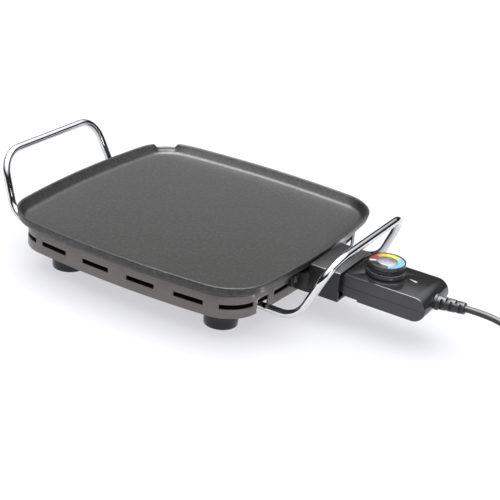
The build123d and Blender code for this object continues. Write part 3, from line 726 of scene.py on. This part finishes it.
class GRIDDLE_OT_plate(bpy.types.Operator):
    """Cast plate: tray with a raised lip, its pouring notch and the ribs underneath"""
    bl_idname = "griddle.plate"
    bl_label = "Plate"

    def execute(self, context):
        settings = context.scene.griddle_plate
        rim, lip = to_mm(settings.rim_height), to_mm(settings.lip_width)
        floor_z = rim - to_mm(settings.tray_depth)
        under_z = floor_z - CASTING
        skirt_inset = to_mm(context.scene.griddle_skirt.inset)
        rings = [plate_ring(settings, skirt_inset, under_z), plate_ring(settings, 1.8, floor_z + 1.0),
                 plate_ring(settings, 0.0, rim - 0.9), plate_ring(settings, 0.5, rim),
                 plate_ring(settings, lip, rim), plate_ring(settings, lip + 0.8, rim - 1.0),
                 bowed_outline(to_mm(settings.half_width) - 10.0, to_mm(settings.side_bow) - 1.0, 28.0,
                               0.0, floor_z, 36)]
        plate = lofted(rings, (0.1, 0.8, 0.12, 0.12, 0.2, 0.2, 1.0), 3.5, 5)
        self.form_spout(plate, settings, rim)
        under = self.ribs(under_z)
        plate = join([plate, under])
        finish(plate, "plate", "base", coating_material(settings), ["griddle_plate"], 50.0)
        return {"FINISHED"}

    def form_spout(self, plate, settings, rim):
        """Lower the lip at the far left corner."""
        half, depth = to_mm(settings.spout_width) / 2, to_mm(settings.spout_depth)
        mesh = open_mesh(plate)
        for vert in mesh.verts:
            spot = local(vert.co)
            across = (spot.x + spot.y) / math.sqrt(2)
            out = (spot.y - spot.x) / math.sqrt(2)
            if out > 150 and spot.z > rim - 3.5:
                near = min(max((half + depth - abs(across)) / depth, 0.0), 1.0)
                fall = near * near * (3 - 2 * near)
                vert.co.z -= depth * fall * MM
        bmesh.update_edit_mesh(plate.data)
        close_mesh()

    def ribs(self, under_z):
        """The heater's rib, the sensor's socket and the bosses, cut off under the plate."""
        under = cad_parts["griddle_plate"].copy()
        under.data = under.data.copy()
        bpy.context.collection.objects.link(under)
        mend(under)
        open_all(under)
        bpy.ops.mesh.bisect(plane_co=(0, 0, (under_z - 0.02) * MM), plane_no=(0, 0, 1), clear_outer=True)
        close_mesh()
        return under


class GRIDDLE_OT_skirt(bpy.types.Operator):
    """Slotted sheet-steel skirt under the plate"""
    bl_idname = "griddle.skirt"
    bl_label = "Skirt"

    slot_low, slot_high = 35.5, 40.3
    short_width, short_place = 25.0, 58.6
    notch_width, notch_place = 17.0, 89.2
    corner_centre, corner_inner, corner_outer = 95.85, 28.0, 60.0
    corner_start, corner_end = -67.0, -12.0
    socket_half, socket_low, socket_high = 21, 38.3, 47.4

    def execute(self, context):
        settings = context.scene.griddle_skirt
        plate = context.scene.griddle_plate
        inset, bottom = to_mm(settings.inset), to_mm(settings.bottom)
        top = to_mm(plate.rim_height) - to_mm(plate.tray_depth) - CASTING
        band = plate_ring(plate, inset, top, 30)
        open_all(band)
        bpy.ops.mesh.extrude_region_move(TRANSFORM_OT_translate={"value": (0, 0, (bottom - top) * MM)})
        bpy.ops.mesh.select_all(action="SELECT")
        bpy.ops.mesh.normals_make_consistent(inside=False)
        close_mesh()
        sheet = band.modifiers.new("sheet", "SOLIDIFY")
        sheet.thickness, sheet.offset = settings.thickness, -1.0
        apply(band, sheet)
        carve(band, self.slot_tools(settings, to_mm(plate.half_width) - inset, bottom))
        soften(band, 0.2, 40.0)
        finish(band, "skirt_panel", "base", enamel_material(settings), ["skirt"], 40.0)
        return {"FINISHED"}

    def slot_tools(self, settings, wall, bottom):
        width, pitch = to_mm(settings.slot_width), to_mm(settings.slot_pitch)
        long_slot = self.slot(wall, width, self.slot_low)
        short_slot = self.slot(wall, self.short_width, self.slot_low)
        handle_notch = self.slot(wall, self.notch_width, bottom - 2)
        tools = []
        for side in (90, 270):
            for step in (-1.5, -0.5, 0.5, 1.5):
                tools.append(self.put(long_slot, side, step * pitch))
        for side in (0, 180):
            for sign in (-1, 1):
                tools.append(self.put(short_slot, side, sign * self.short_place))
                tools.append(self.put(handle_notch, side, sign * self.notch_place))
        tools.append(self.put(long_slot, 180, 0.0))
        inner, outer = self.corner_inner, self.corner_outer
        corner = turned([(inner, self.slot_low), (outer, self.slot_low), (outer, self.slot_high),
                         (inner, self.slot_high), (inner, self.slot_low)], (0, 0, 0), steps=120)
        keep = self.keep_sector(corner, self.corner_start, self.corner_end)
        for quarter in range(4):
            turn = math.radians(90 * quarter)
            at = Matrix.Rotation(turn, 2) @ Vector((self.corner_centre, -self.corner_centre))
            tools.append(twin(keep, turn, shift=(at.x, at.y, 0)))
        tools.append(brick(wall - 12, wall + 8, -self.socket_half, self.socket_half,
                           self.socket_low, self.socket_high))
        for spare in (long_slot, short_slot, handle_notch, keep):
            bpy.data.objects.remove(spare)
        return tools

    def slot(self, wall, width, low):
        tool = brick(wall - 12, wall + 12, -width / 2, width / 2, low, self.slot_high)
        round_along_x(tool, 0.7, 3)
        return tool

    def put(self, tool, side, along):
        turn = math.radians(side)
        offset = Matrix.Rotation(turn, 2) @ Vector((0, along))
        return twin(tool, turn, shift=(offset.x, offset.y, 0))

    def keep_sector(self, ring, start, end):
        """Cut a ring down to the part between two angles and close its ends."""
        for degrees, keep_left in ((start, True), (end, False)):
            angle = math.radians(degrees)
            normal = Vector((-math.sin(angle), math.cos(angle), 0))
            open_all(ring)
            bpy.ops.mesh.bisect(plane_co=place(0, 0, 0), plane_no=normal, use_fill=True,
                                clear_inner=keep_left, clear_outer=not keep_left)
            close_mesh()
        mend(ring)
        return ring


class GRIDDLE_OT_feet(bpy.types.Operator):
    """Four moulded feet"""
    bl_idname = "griddle.feet"
    bl_label = "Feet"

    spread = 92.2

    def execute(self, context):
        settings = context.scene.griddle_handles
        radius = to_mm(settings.foot_radius)
        material = plastic_material("bakelite", settings.moulding, 0.10, 0.22, 900.0, 0.015)
        foot = turned([(0, 9.0), (5.5, 9.0), (5.5, 0.4), (5.9, 0.0), (radius - 1.1, 0.0),
                       (radius - 0.7, 0.2), (radius - 0.5, 0.6), (radius - 0.1, 8.0), (radius, 10.0),
                       (radius, 32.6), (radius - 0.4, 33.6), (radius - 1.4, 34.0), (11.6, 34.0),
                       (11.0, 34.5), (11.0, 41.5), (0, 41.5)], (0, 0, 0), steps=96)
        places = [(x, y) for x in (-self.spread, self.spread) for y in (-self.spread, self.spread)]
        for number, (x, y) in enumerate(places, 1):
            finish(twin(foot, shift=(x, y, 0)), f"foot_moulding_{number}", "base", material,
                   [f"foot_{number}"])
        bpy.data.objects.remove(foot)
        return {"FINISHED"}


def bent_wire(points, bends, radius):
    """A rod along straight runs with round bends, closed at its ends."""
    runs = [Vector(p) for p in points]
    knots = []
    for i, point in enumerate(runs):
        if i in (0, len(runs) - 1):
            knots.append((point, point, point))
            continue
        back = (runs[i - 1] - point).normalized()
        ahead = (runs[i + 1] - point).normalized()
        turn = math.pi - back.angle(ahead)
        cut = bends[i - 1] * math.tan(turn / 2)
        grip = 4 / 3 * math.tan(turn / 4) * bends[i - 1]
        first, last = point + back * cut, point + ahead * cut
        knots.append((first, first + back * grip * 0.01, first - back * grip))
        knots.append((last, last - ahead * grip, last + ahead * grip * 0.01))
    wire = flat_curve([[place(*p) for p in knot] for knot in knots], False, 14)
    wire.data.bevel_depth = radius * MM
    wire.data.bevel_resolution = 7
    wire.data.use_fill_caps = True
    wire = to_mesh(wire)
    mend(wire)
    soften(wire, 0.5, 60.0)
    return wire


class GRIDDLE_OT_handles(bpy.types.Operator):
    """Two chromed wire handles"""
    bl_idname = "griddle.handles"
    bl_label = "Handles"

    foot_x, knee_x, grip_x = 96.5, 169.7, 195.5
    foot_y, grip_y, low = 86.0, 77.1, 29.1

    def execute(self, context):
        settings = context.scene.griddle_handles
        height = to_mm(settings.top_height)
        half = [(self.foot_x, self.foot_y, self.low), (self.knee_x, self.foot_y, self.low),
                (self.grip_x, self.grip_y, height)]
        near_half = [(x, -y, z) for x, y, z in half]
        rod = bent_wire(near_half + half[::-1], [26.0, 28.0, 28.0, 26.0], to_mm(settings.rod_radius))
        material = chrome_material()
        left = twin(rod, math.pi)
        finish(rod, "handle_wire_right", "base", material, ["handle_right"])
        finish(left, "handle_wire_left", "base", material, ["handle_left"])
        return {"FINISHED"}


# ------------------------------------------------------------------ socket and controller

class GRIDDLE_OT_socket(bpy.types.Operator):
    """Moulded socket that the controller plugs into, with its two ears"""
    bl_idname = "griddle.socket"
    bl_label = "Socket"

    back, front, half, low, high = 151.0, 183.7, 33.0, 29.4, 60.2
    skirt_face, step_high = 136.9, 48.2
    screw_y, screw_z = 39.5, 42.2

    def execute(self, context):
        settings = context.scene.griddle_controller
        box = brick(self.back, self.front, -self.half, self.half, self.low, self.high)
        round_along_x(box, 1.6, 4)
        open_mesh(box)
        choose(box, faces=lambda c, n: n.x > 0.9)
        bpy.ops.mesh.inset(thickness=2.5 * MM, use_even_offset=True)
        bpy.ops.mesh.extrude_region_move(TRANSFORM_OT_translate={"value": (-30.2 * MM, 0, 0)})
        close_mesh()
        step = brick(self.skirt_face, self.back + 0.5, -self.half, self.half, self.low, self.step_high)
        ears = brick(self.skirt_face, 141.0, -47.0, 47.0, 36.0, 48.0)
        round_along_x(ears, 2.0, 4)
        for y in (-self.screw_y, self.screw_y):
            carve(ears, [rod_shape(4.2, (139.4, y, self.screw_z), (145.0, y, self.screw_z))])
        passage = [-20, 20, 38.5, 47.2]
        carve(box, [brick(149, 158, *passage)])
        carve(step, [brick(130, 155, *passage)])
        carve(ears, [brick(130, 145, *passage)])
        for part in (box, step, ears):
            soften(part, 0.35, 40.0)
        shroud = join([box, step, ears])
        dark = [c * 0.35 for c in settings.shell]
        material = plastic_material("satin_black", dark, 0.30, 0.42, 1300.0, 0.03)
        finish(shroud, "socket_moulding", "base", material, ["socket_shroud"])
        return {"FINISHED"}


class GRIDDLE_OT_case(bpy.types.Operator):
    """The controller's two shells"""
    bl_idname = "griddle.case"
    bl_label = "Controller case"

    front, end, half, low, high = 187.0, 271.6, 28.6, 34.5, 59.4
    wall, step_x, step = 2.2, 202.0, 2.0

    def execute(self, context):
        settings = context.scene.griddle_controller
        split = (self.low + self.high) / 2
        solid = self.block_out()
        upper, lower = solid, twin(solid)
        gloss = case_material("gloss_black", settings, True)
        satin = case_material("satin_black_case", settings, False)
        for shell, keep_up in ((upper, True), (lower, False)):
            open_all(shell)
            gap = 0.12 if keep_up else -0.12
            bpy.ops.mesh.bisect(plane_co=place(0, 0, split + gap), plane_no=(0, 0, 1),
                                clear_inner=keep_up, clear_outer=not keep_up)
            choose(shell, faces=lambda c, n: n.x < -0.9 and c.x < self.front + 0.1)
            bpy.ops.mesh.delete(type="FACE")
            close_mesh()
            thick = shell.modifiers.new("wall", "SOLIDIFY")
            thick.thickness, thick.offset = self.wall * MM, -1.0
            thick.use_even_offset = True
            apply(shell, thick)
        carve(upper, [rod_shape(3.5, (KNOB_X, 0, self.high - 5), (KNOB_X, 0, self.high + 2))])
        for shell in (upper, lower):
            soften(shell, 0.2, 50.0)
        finish(upper, "case_top_shell", "controller", gloss, ["case_upper"], 35.0)
        finish(lower, "case_bottom_shell", "controller", satin, ["case_lower"], 35.0)
        return {"FINISHED"}

    def block_out(self):
        """The whole case as one solid, its far end a full round and its front stepped up."""
        solid = brick(self.front, self.end, -self.half, self.half, self.low, self.high)
        open_mesh(solid)
        choose(solid, edges=lambda a, b: min(a.x, b.x) > self.end - 0.1 and abs(a.y - b.y) > 1)
        bpy.ops.mesh.bevel(offset=12.44 * MM, segments=16)
        close_mesh()
        carve(solid, [brick(self.front - 5, self.step_x, -40, 40, self.low - 5, self.low + self.step)])
        open_mesh(solid)
        choose(solid, edges=lambda a, b: abs(abs(a.y) - self.half) < 0.05 and abs(abs(b.y) - self.half) < 0.05
               and a.y * b.y > 0 and max(a.x, b.x) > self.front + 0.1)
        bpy.ops.mesh.bevel(offset=1.2 * MM, segments=4)
        close_mesh()
        return solid


class GRIDDLE_OT_knob(bpy.types.Operator):
    """Fluted knob with its printed dial and silver cap"""
    bl_idname = "griddle.knob"
    bl_label = "Knob"

    bottom, top, cap_radius = 59.9, 73.2, 10.4

    def execute(self, context):
        settings = context.scene.griddle_controller
        radius = to_mm(settings.knob_radius)
        black = plastic_material("knob_black", settings.knob, 0.20, 0.30, 1500.0, 0.01)
        centre = (KNOB_X, 0, self.bottom)
        height = self.top - self.bottom
        steps = settings.flutes * 6
        face_r, dial_z = radius - 1.25, height - 1.3
        body = turned([(0.0, 9.6), (2.6, 9.6), (2.6, 0.0), (5.0, 0.0), (5.0, 9.0), (15.2, 9.0), (15.2, 0.5),
                       (15.6, 0.0), (18.9, 0.0), (19.4, 0.3), (19.6, 1.0), (19.4, 2.0), (18.9, 2.9),
                       (18.6, 3.3), (18.5, 3.8), (18.75, 4.4), (18.7, 4.8), (radius + 0.1, 9.0),
                       (radius + 0.05, 9.5), (radius, 9.9), (radius, height - 0.5),
                       (radius - 0.15, height - 0.12), (radius - 0.4, height), (face_r + 0.2, height),
                       (face_r, height - 0.2), (face_r, dial_z), (0.0, dial_z)], centre, steps=steps)
        open_mesh(body)
        mesh = bmesh.from_edit_mesh(body.data)
        for vert in mesh.verts:
            spot = local(vert.co) - Vector(centre)
            flat = Vector((spot.x, spot.y))
            if flat.length > radius - 0.4 and 4.5 < spot.z < 9.2:
                phase = math.atan2(flat.y, flat.x) * settings.flutes
                pull = 1.2 * (0.5 - 0.5 * math.cos(phase)) ** 0.7
                flat *= (flat.length - pull) / flat.length
                vert.co = place(KNOB_X + flat.x, flat.y, centre[2] + spot.z)
        bmesh.update_edit_mesh(body.data)
        close_mesh()
        finish(body, "knob_body", "dial", black, ["knob"], 40.0)
        cap_r = self.cap_radius
        disc = turned([(cap_r, dial_z), (cap_r, dial_z + 0.42), (cap_r + 0.15, dial_z + 0.5),
                       (face_r - 0.15, dial_z + 0.5), (face_r - 0.05, dial_z + 0.4), (face_r - 0.05, dial_z),
                       (cap_r, dial_z)], centre, steps=96)
        finish(disc, "dial_face", "dial", dial_material(settings), ["dial_disc"])
        cap = turned([(0.0, dial_z + 0.9), (cap_r - 0.7, dial_z + 0.9), (cap_r - 0.35, dial_z + 0.82),
                      (cap_r - 0.2, dial_z + 0.6), (cap_r - 0.2, dial_z), (0.0, dial_z)], centre, steps=96)
        finish(cap, "dial_cap", "dial", bright_metal("silver_cap", (0.50, 0.51, 0.53), 0.26, 0.34,
                                                      (900.0, 900.0, 900.0)), ["knob_cap"])
        return {"FINISHED"}


# ------------------------------------------------------------------ cord

CORD_EXIT = (300.09, 0.0, 50.78)
CORD_ROUTE = [(319.0, 0.0, 51.7), (343.0, -0.8, 48.4), (366.0, -1.8, 34.5),
              (384.0, -2.6, 17.5), (401.0, -3.1, 6.6), (420.0, -3.3, 4.5)]
TAIL_ROUTE = [(420.0, -3.3, 17.3), (437.0, -3.8, 17.9), (453.0, -4.2, 18.3)]
COIL_CENTRE = (420.0, 37.8)
TURN_POINTS = 14


def coil_turns(cord_radius, coil_radius):
    """Points of six wound turns, in two columns and three layers.

    A turn keeps its column and layer at first, then rises to the next turn's layer and last
    moves over to its column."""
    outer, inner = coil_radius + cord_radius, coil_radius - cord_radius
    low, middle, high = 4.5, 10.9, 17.3
    stations = [(outer, low), (inner, low), (inner, middle), (outer, middle), (inner, high),
                (outer, high), (outer, high)]
    points = []
    for i in range(1, 6 * TURN_POINTS):
        turn = i / TURN_POINTS
        (radius, z), (next_radius, next_z) = stations[int(turn)], stations[int(turn) + 1]
        part = turn - int(turn)
        radius += (next_radius - radius) * smooth(part, 0.68, 1.0)
        z += (next_z - z) * smooth(part, 0.36, 0.68)
        angle = -math.pi / 2 + turn * math.tau
        points.append((COIL_CENTRE[0] + radius * math.cos(angle),
                       COIL_CENTRE[1] + radius * math.sin(angle), z))
    return points


def smooth(value, start, end):
    """0 before start, 1 after end, with a soft rise between them."""
    rise = min(max((value - start) / (end - start), 0.0), 1.0)
    return rise * rise * (3 - 2 * rise)


class GRIDDLE_OT_cord(bpy.types.Operator):
    """Mains cord with its sleeve, its put-away coil and its plug"""
    bl_idname = "griddle.cord"
    bl_label = "Cord"

    core = 3.9

    def execute(self, context):
        settings = context.scene.griddle_cord
        radius = to_mm(settings.cord_radius)
        rubber = plastic_material("cord_rubber", settings.rubber, 0.38, 0.52, 1500.0, 0.03)
        route = [CORD_EXIT] + CORD_ROUTE + coil_turns(radius, to_mm(settings.coil_radius)) + TAIL_ROUTE
        curve = bpy.data.curves.new("mains_cord", "CURVE")
        curve.dimensions = "3D"
        spline = curve.splines.new("NURBS")
        spline.points.add(len(route) - 1)
        for point, spot in zip(spline.points, route):
            point.co = (*place(*spot), 1.0)
        spline.order_u = 3
        spline.use_endpoint_u = True
        curve.resolution_u = 8
        curve.bevel_depth = settings.cord_radius
        curve.bevel_resolution = 5
        curve.use_fill_caps = True
        curve.materials.append(rubber)
        cord = bpy.data.objects.new("mains_cord", curve)
        context.collection.objects.link(cord)
        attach(cord, "controller")
        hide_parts("power_cord", "cord_coil", "cord_tail")
        sleeve = self.sleeve(rubber)
        plug = self.plug(rubber)
        line = self.cord_length(cord)
        return {"FINISHED"}

    def cord_length(self, cord):
        """The length of the cord's centre line, in metres."""
        bare = cord.copy()
        bare.data = cord.data.copy()
        bare.data.bevel_depth = 0.0
        bpy.context.collection.objects.link(bare)
        bpy.context.view_layer.update()
        line = bpy.data.meshes.new_from_object(bare.evaluated_get(bpy.context.evaluated_depsgraph_get()))
        total = sum((line.vertices[a].co - line.vertices[b].co).length for a, b in
                    (edge.vertices for edge in line.edges))
        bpy.data.objects.remove(bare)
        return total

    def sleeve(self, rubber):
        """Sleeve that tapers from the case down to the cord, slotted by turns on two sides."""
        tilt = math.radians(5.0)
        axis = Vector((math.cos(tilt), 0, math.sin(tilt)))
        root = Vector((270.6, 0, 48.2))
        sleeve = turned([(3.32, -6.0), (5.0, -6.0), (5.0, 0.0), (7.6, 0.0), (8.0, 0.4), (8.0, 2.7),
                         (7.6, 3.2), (6.9, 3.2), (5.7, 29.2), (5.3, 29.6), (3.32, 29.6), (3.32, -6.0)],
                        root, axis, 64)
        for along, width, turn in ((7.2, 2.4, 0), (16.6, 2.4, 0), (26.0, 2.4, 0), (11.9, 2.2, 90),
                                   (21.3, 2.2, 90)):
            for sign in (-1, 1):
                carve(sleeve, [self.slot_tool(root + axis * along, width, turn, sign, tilt)])
        soften(sleeve, 0.25, 45.0)
        finish(sleeve, "cord_sleeve", "controller", rubber, ["strain_relief"])
        return sleeve

    def slot_tool(self, centre, width, turn, sign, tilt):
        """A block beside the sleeve's core, square to its axis."""
        deselect()
        bpy.ops.mesh.primitive_cube_add(size=1)
        tool = bpy.context.object
        tool.scale = (width * MM, 12 * MM, 24 * MM)
        fix_place(tool)
        tool.location = (0, sign * (self.core + 5.7) * MM, 0)
        fix_place(tool)
        tool.matrix_world = (Matrix.Translation(place(*centre)) @ Matrix.Rotation(-tilt, 4, "Y") @
                             Matrix.Rotation(math.radians(turn), 4, "X"))
        fix_place(tool)
        return tool

    def plug(self, rubber):
        """Moulded plug, lying on its side."""
        rear, front, y, z = 453.0, 496.0, -4.2, 18.3
        body = turned([(3.35, 0.0), (4.6, 0.0), (5.0, 0.4), (5.6, 4.0), (5.2, 4.6), (6.2, 5.4), (6.7, 9.0),
                       (6.3, 9.6), (7.4, 10.4), (9.0, 13.0), (12.6, 16.2), (14.8, 19.6), (14.3, 20.3),
                       (15.6, 21.2), (16.4, 24.4), (16.0, 25.2), (17.2, 26.2), (17.6, 28.0), (18.2, 28.4),
                       (18.3, 29.0), (18.3, 41.6), (18.1, 42.4), (17.5, 43.0), (0.0, 43.0), (0.0, 3.0),
                       (3.35, 3.0), (3.35, 0.0)], (rear, y, z), (1, 0, 0), 80)
        for sign in (-1, 1):
            side = y + sign * 20.0
            carve(body, [brick(front - 14, front + 2, side - 3.3, side + 3.3, z - 3.2, z + 3.2)])
            carve(body, [rod_shape(2.05, (front - 12, y, z + sign * 9.5), (front + 2, y, z + sign * 9.5))])
        finish(body, "plug_moulding", "controller", rubber, ["plug_body"])
        return body


# ------------------------------------------------------------------ hidden and small metal parts

class GRIDDLE_OT_fittings(bpy.types.Operator):
    """Finishes for the element, screws, contacts and the other CAD parts that keep their shape"""
    bl_idname = "griddle.fittings"
    bl_label = "Fittings"

    def execute(self, context):
        zinc = bright_metal("zinc_steel", (0.62, 0.63, 0.64), 0.22, 0.38, (400.0, 400.0, 400.0))
        # the heat shield's near-black is partly its own paint, partly painted shade under the plate seen
        # through the slots
        shield_and_shade = plastic_material("pan_black", (0.006, 0.006, 0.006), 0.50, 0.62, 800.0, 0.02, 0.02)
        brass = bright_metal("brass", (0.72, 0.55, 0.26), 0.20, 0.36, (60.0, 900.0, 900.0))
        nickel = bright_metal("nickel", (0.70, 0.69, 0.66), 0.12, 0.24, (60.0, 1500.0, 1500.0))
        sheath = bright_metal("element_steel", (0.36, 0.35, 0.34), 0.32, 0.50, (60.0, 900.0, 900.0))
        shell = context.scene.griddle_controller.shell
        heatproof = plastic_material("bakelite_block", [c + 0.008 for c in shell], 0.32, 0.46, 800.0, 0.03)
        band = plastic_material("tie", (0.03, 0.03, 0.034), 0.55, 0.7, 700.0, 0.08)
        refinish(sheath, "heating_element")
        refinish(zinc, "foot_screws", "shroud_screws", "earth_blade", "case_screws", "thermostat_frame",
                 "knob_spindle")
        refinish(brass, "contact_sleeves", "spindle_bush", "bimetal_strip", "switch_contacts")
        refinish(nickel, "plug_pins", "plug_earth_clips", "sensor_tube")
        refinish(heatproof, "nose_block")
        refinish(shield_and_shade, "base_pan")
        refinish(band, "cord_tie")
        return {"FINISHED"}


# ------------------------------------------------------------------ stage

class GRIDDLE_OT_stage(bpy.types.Operator):
    """Pale floor, soft studio light and the camera"""
    bl_idname = "griddle.stage"
    bl_label = "Stage"

    # name, place, target, width, depth, power, seen in reflections
    lamps = [("key_softbox", (0.0, -0.55, 2.2), (0.03, -0.05, 0.0), 2.6, 2.4, 40.0, False),
             ("side_strip", (1.45, -0.82, 0.42), (0.2, 0.0, 0.05), 0.22, 0.7, 3.6, True)]
    floor_glow, surround_level, backdrop_level = 0.57, 0.95, 1.0
    mirrored_dark, mirrored_grey, mirrored_overhead = 0.03, 1.6, 18.0

    def execute(self, context):
        settings = context.scene.griddle_stage
        context.scene.view_settings.view_transform = "Standard"
        self.floor(settings)
        self.world(context)
        for name, at, target, width, depth, power, mirrored in self.lamps:
            self.lamp(name, at, target, width, depth, power, mirrored)
        self.camera(context, settings)
        return {"FINISHED"}

    def floor(self, settings):
        deselect()
        bpy.ops.mesh.primitive_plane_add(size=12.0, location=(0, 0, 0))
        floor = bpy.context.object
        floor.name = "floor"
        material = start_material("floor", Roughness=0.55, Specular_IOR_Level=0.2,
                                  Base_Color=rgba(settings.floor),
                                  Emission_Color=(0.96, 0.96, 1.0, 1.0),
                                  Emission_Strength=self.floor_glow)[0]
        floor.data.materials.append(material)

    def world(self, context):
        """A pale surround. In reflections it is dark near the horizon, grey above it and bright overhead."""
        world = bpy.data.worlds.new("studio")
        context.scene.world = world
        world.use_nodes = True
        tree = world.node_tree
        back = tree.nodes["Background"]
        ray = node(tree, "ShaderNodeTexCoord").outputs["Generated"]
        up = node(tree, "ShaderNodeSeparateXYZ", {0: ray}).outputs["Z"]
        grey = spread(tree, up, 0.37, 0.66, self.mirrored_dark, self.mirrored_grey,
                      interpolation_type="SMOOTHSTEP")
        bright = spread(tree, up, 0.78, 0.90, 0.0, self.mirrored_overhead, interpolation_type="SMOOTHSTEP")
        rays = node(tree, "ShaderNodeLightPath").outputs
        level = node(tree, "ShaderNodeMix", {0: rays["Is Glossy Ray"], 2: self.surround_level,
                                             3: maths(tree, "ADD", grey, bright)})
        level = node(tree, "ShaderNodeMix", {0: rays["Is Camera Ray"], 2: level.outputs[0],
                                             3: self.backdrop_level})
        tree.links.new(level.outputs[0], back.inputs["Strength"])
        back.inputs["Color"].default_value = (0.97, 0.98, 1.0, 1.0)

    def lamp(self, name, at, target, width, depth, power, mirrored):
        light = bpy.data.lights.new(name, "AREA")
        light.shape, light.size, light.size_y, light.energy = "RECTANGLE", width, depth, power
        lamp = bpy.data.objects.new(name, light)
        lamp.location = at
        lamp.rotation_euler = (Vector(target) - Vector(at)).to_track_quat("-Z", "Y").to_euler()
        lamp.visible_glossy = mirrored
        bpy.context.collection.objects.link(lamp)

    def camera(self, context, settings):
        turn, rise, roll = settings.azimuth, settings.elevation, settings.roll
        back = Vector((math.sin(turn) * math.cos(rise), -math.cos(turn) * math.cos(rise), math.sin(rise)))
        right = (-back).cross(Vector((0, 0, 1))).normalized()
        up = right.cross(-back)
        across = math.cos(roll) * right + math.sin(roll) * up
        upward = -math.sin(roll) * right + math.cos(roll) * up
        spot = place(94.20, -51.96, 63.29) + settings.camera_distance * back
        data = bpy.data.cameras.new("camera")
        data.sensor_width, data.lens = 36.0, settings.focal_length
        data.clip_end = 50.0
        camera = bpy.data.objects.new("camera", data)
        camera.matrix_world = Matrix((across, upward, back)).transposed().to_4x4()
        camera.location = spot
        context.collection.objects.link(camera)
        context.scene.camera = camera


# ------------------------------------------------------------------ panel and registration

class GRIDDLE_PT_panel(bpy.types.Panel):
    """Sizes, colours and pieces of the griddle"""
    bl_idname = "GRIDDLE_PT_panel"
    bl_label = "Griddle"
    bl_space_type = "VIEW_3D"
    bl_region_type = "UI"
    bl_category = "Griddle"

    def draw(self, context):
        for title, group_name, _ in SECTIONS:
            box = self.layout.box()
            box.label(text=title)
            settings = getattr(context.scene, group_name)
            for name in settings.bl_rna.properties.keys():
                if name not in ("rna_type", "name"):
                    box.prop(settings, name)
        for piece in PIECES:
            self.layout.operator(piece.bl_idname)


SECTIONS = [("Plate", "griddle_plate", GriddlePlateSettings),
            ("Skirt", "griddle_skirt", GriddleSkirtSettings),
            ("Handles and feet", "griddle_handles", GriddleHandleSettings),
            ("Controller", "griddle_controller", GriddleControllerSettings),
            ("Cord", "griddle_cord", GriddleCordSettings),
            ("Stage", "griddle_stage", GriddleStageSettings)]
PIECES = [GRIDDLE_OT_stage, GRIDDLE_OT_cord, GRIDDLE_OT_plate, GRIDDLE_OT_skirt, GRIDDLE_OT_feet,
          GRIDDLE_OT_handles, GRIDDLE_OT_socket, GRIDDLE_OT_case, GRIDDLE_OT_knob, GRIDDLE_OT_fittings]


def register():
    for _, group_name, kind in SECTIONS:
        bpy.utils.register_class(kind)
        setattr(bpy.types.Scene, group_name, PointerProperty(type=kind))
    for kind in PIECES + [GRIDDLE_PT_panel]:
        bpy.utils.register_class(kind)


def unregister():
    for kind in reversed(PIECES + [GRIDDLE_PT_panel]):
        bpy.utils.unregister_class(kind)
    for _, group_name, kind in reversed(SECTIONS):
        delattr(bpy.types.Scene, group_name)
        bpy.utils.unregister_class(kind)


def main():
    register()
    for piece in PIECES:
        family, name = piece.bl_idname.split(".")
        getattr(getattr(bpy.ops, family), name)()


if __name__ == "__main__":
    main()
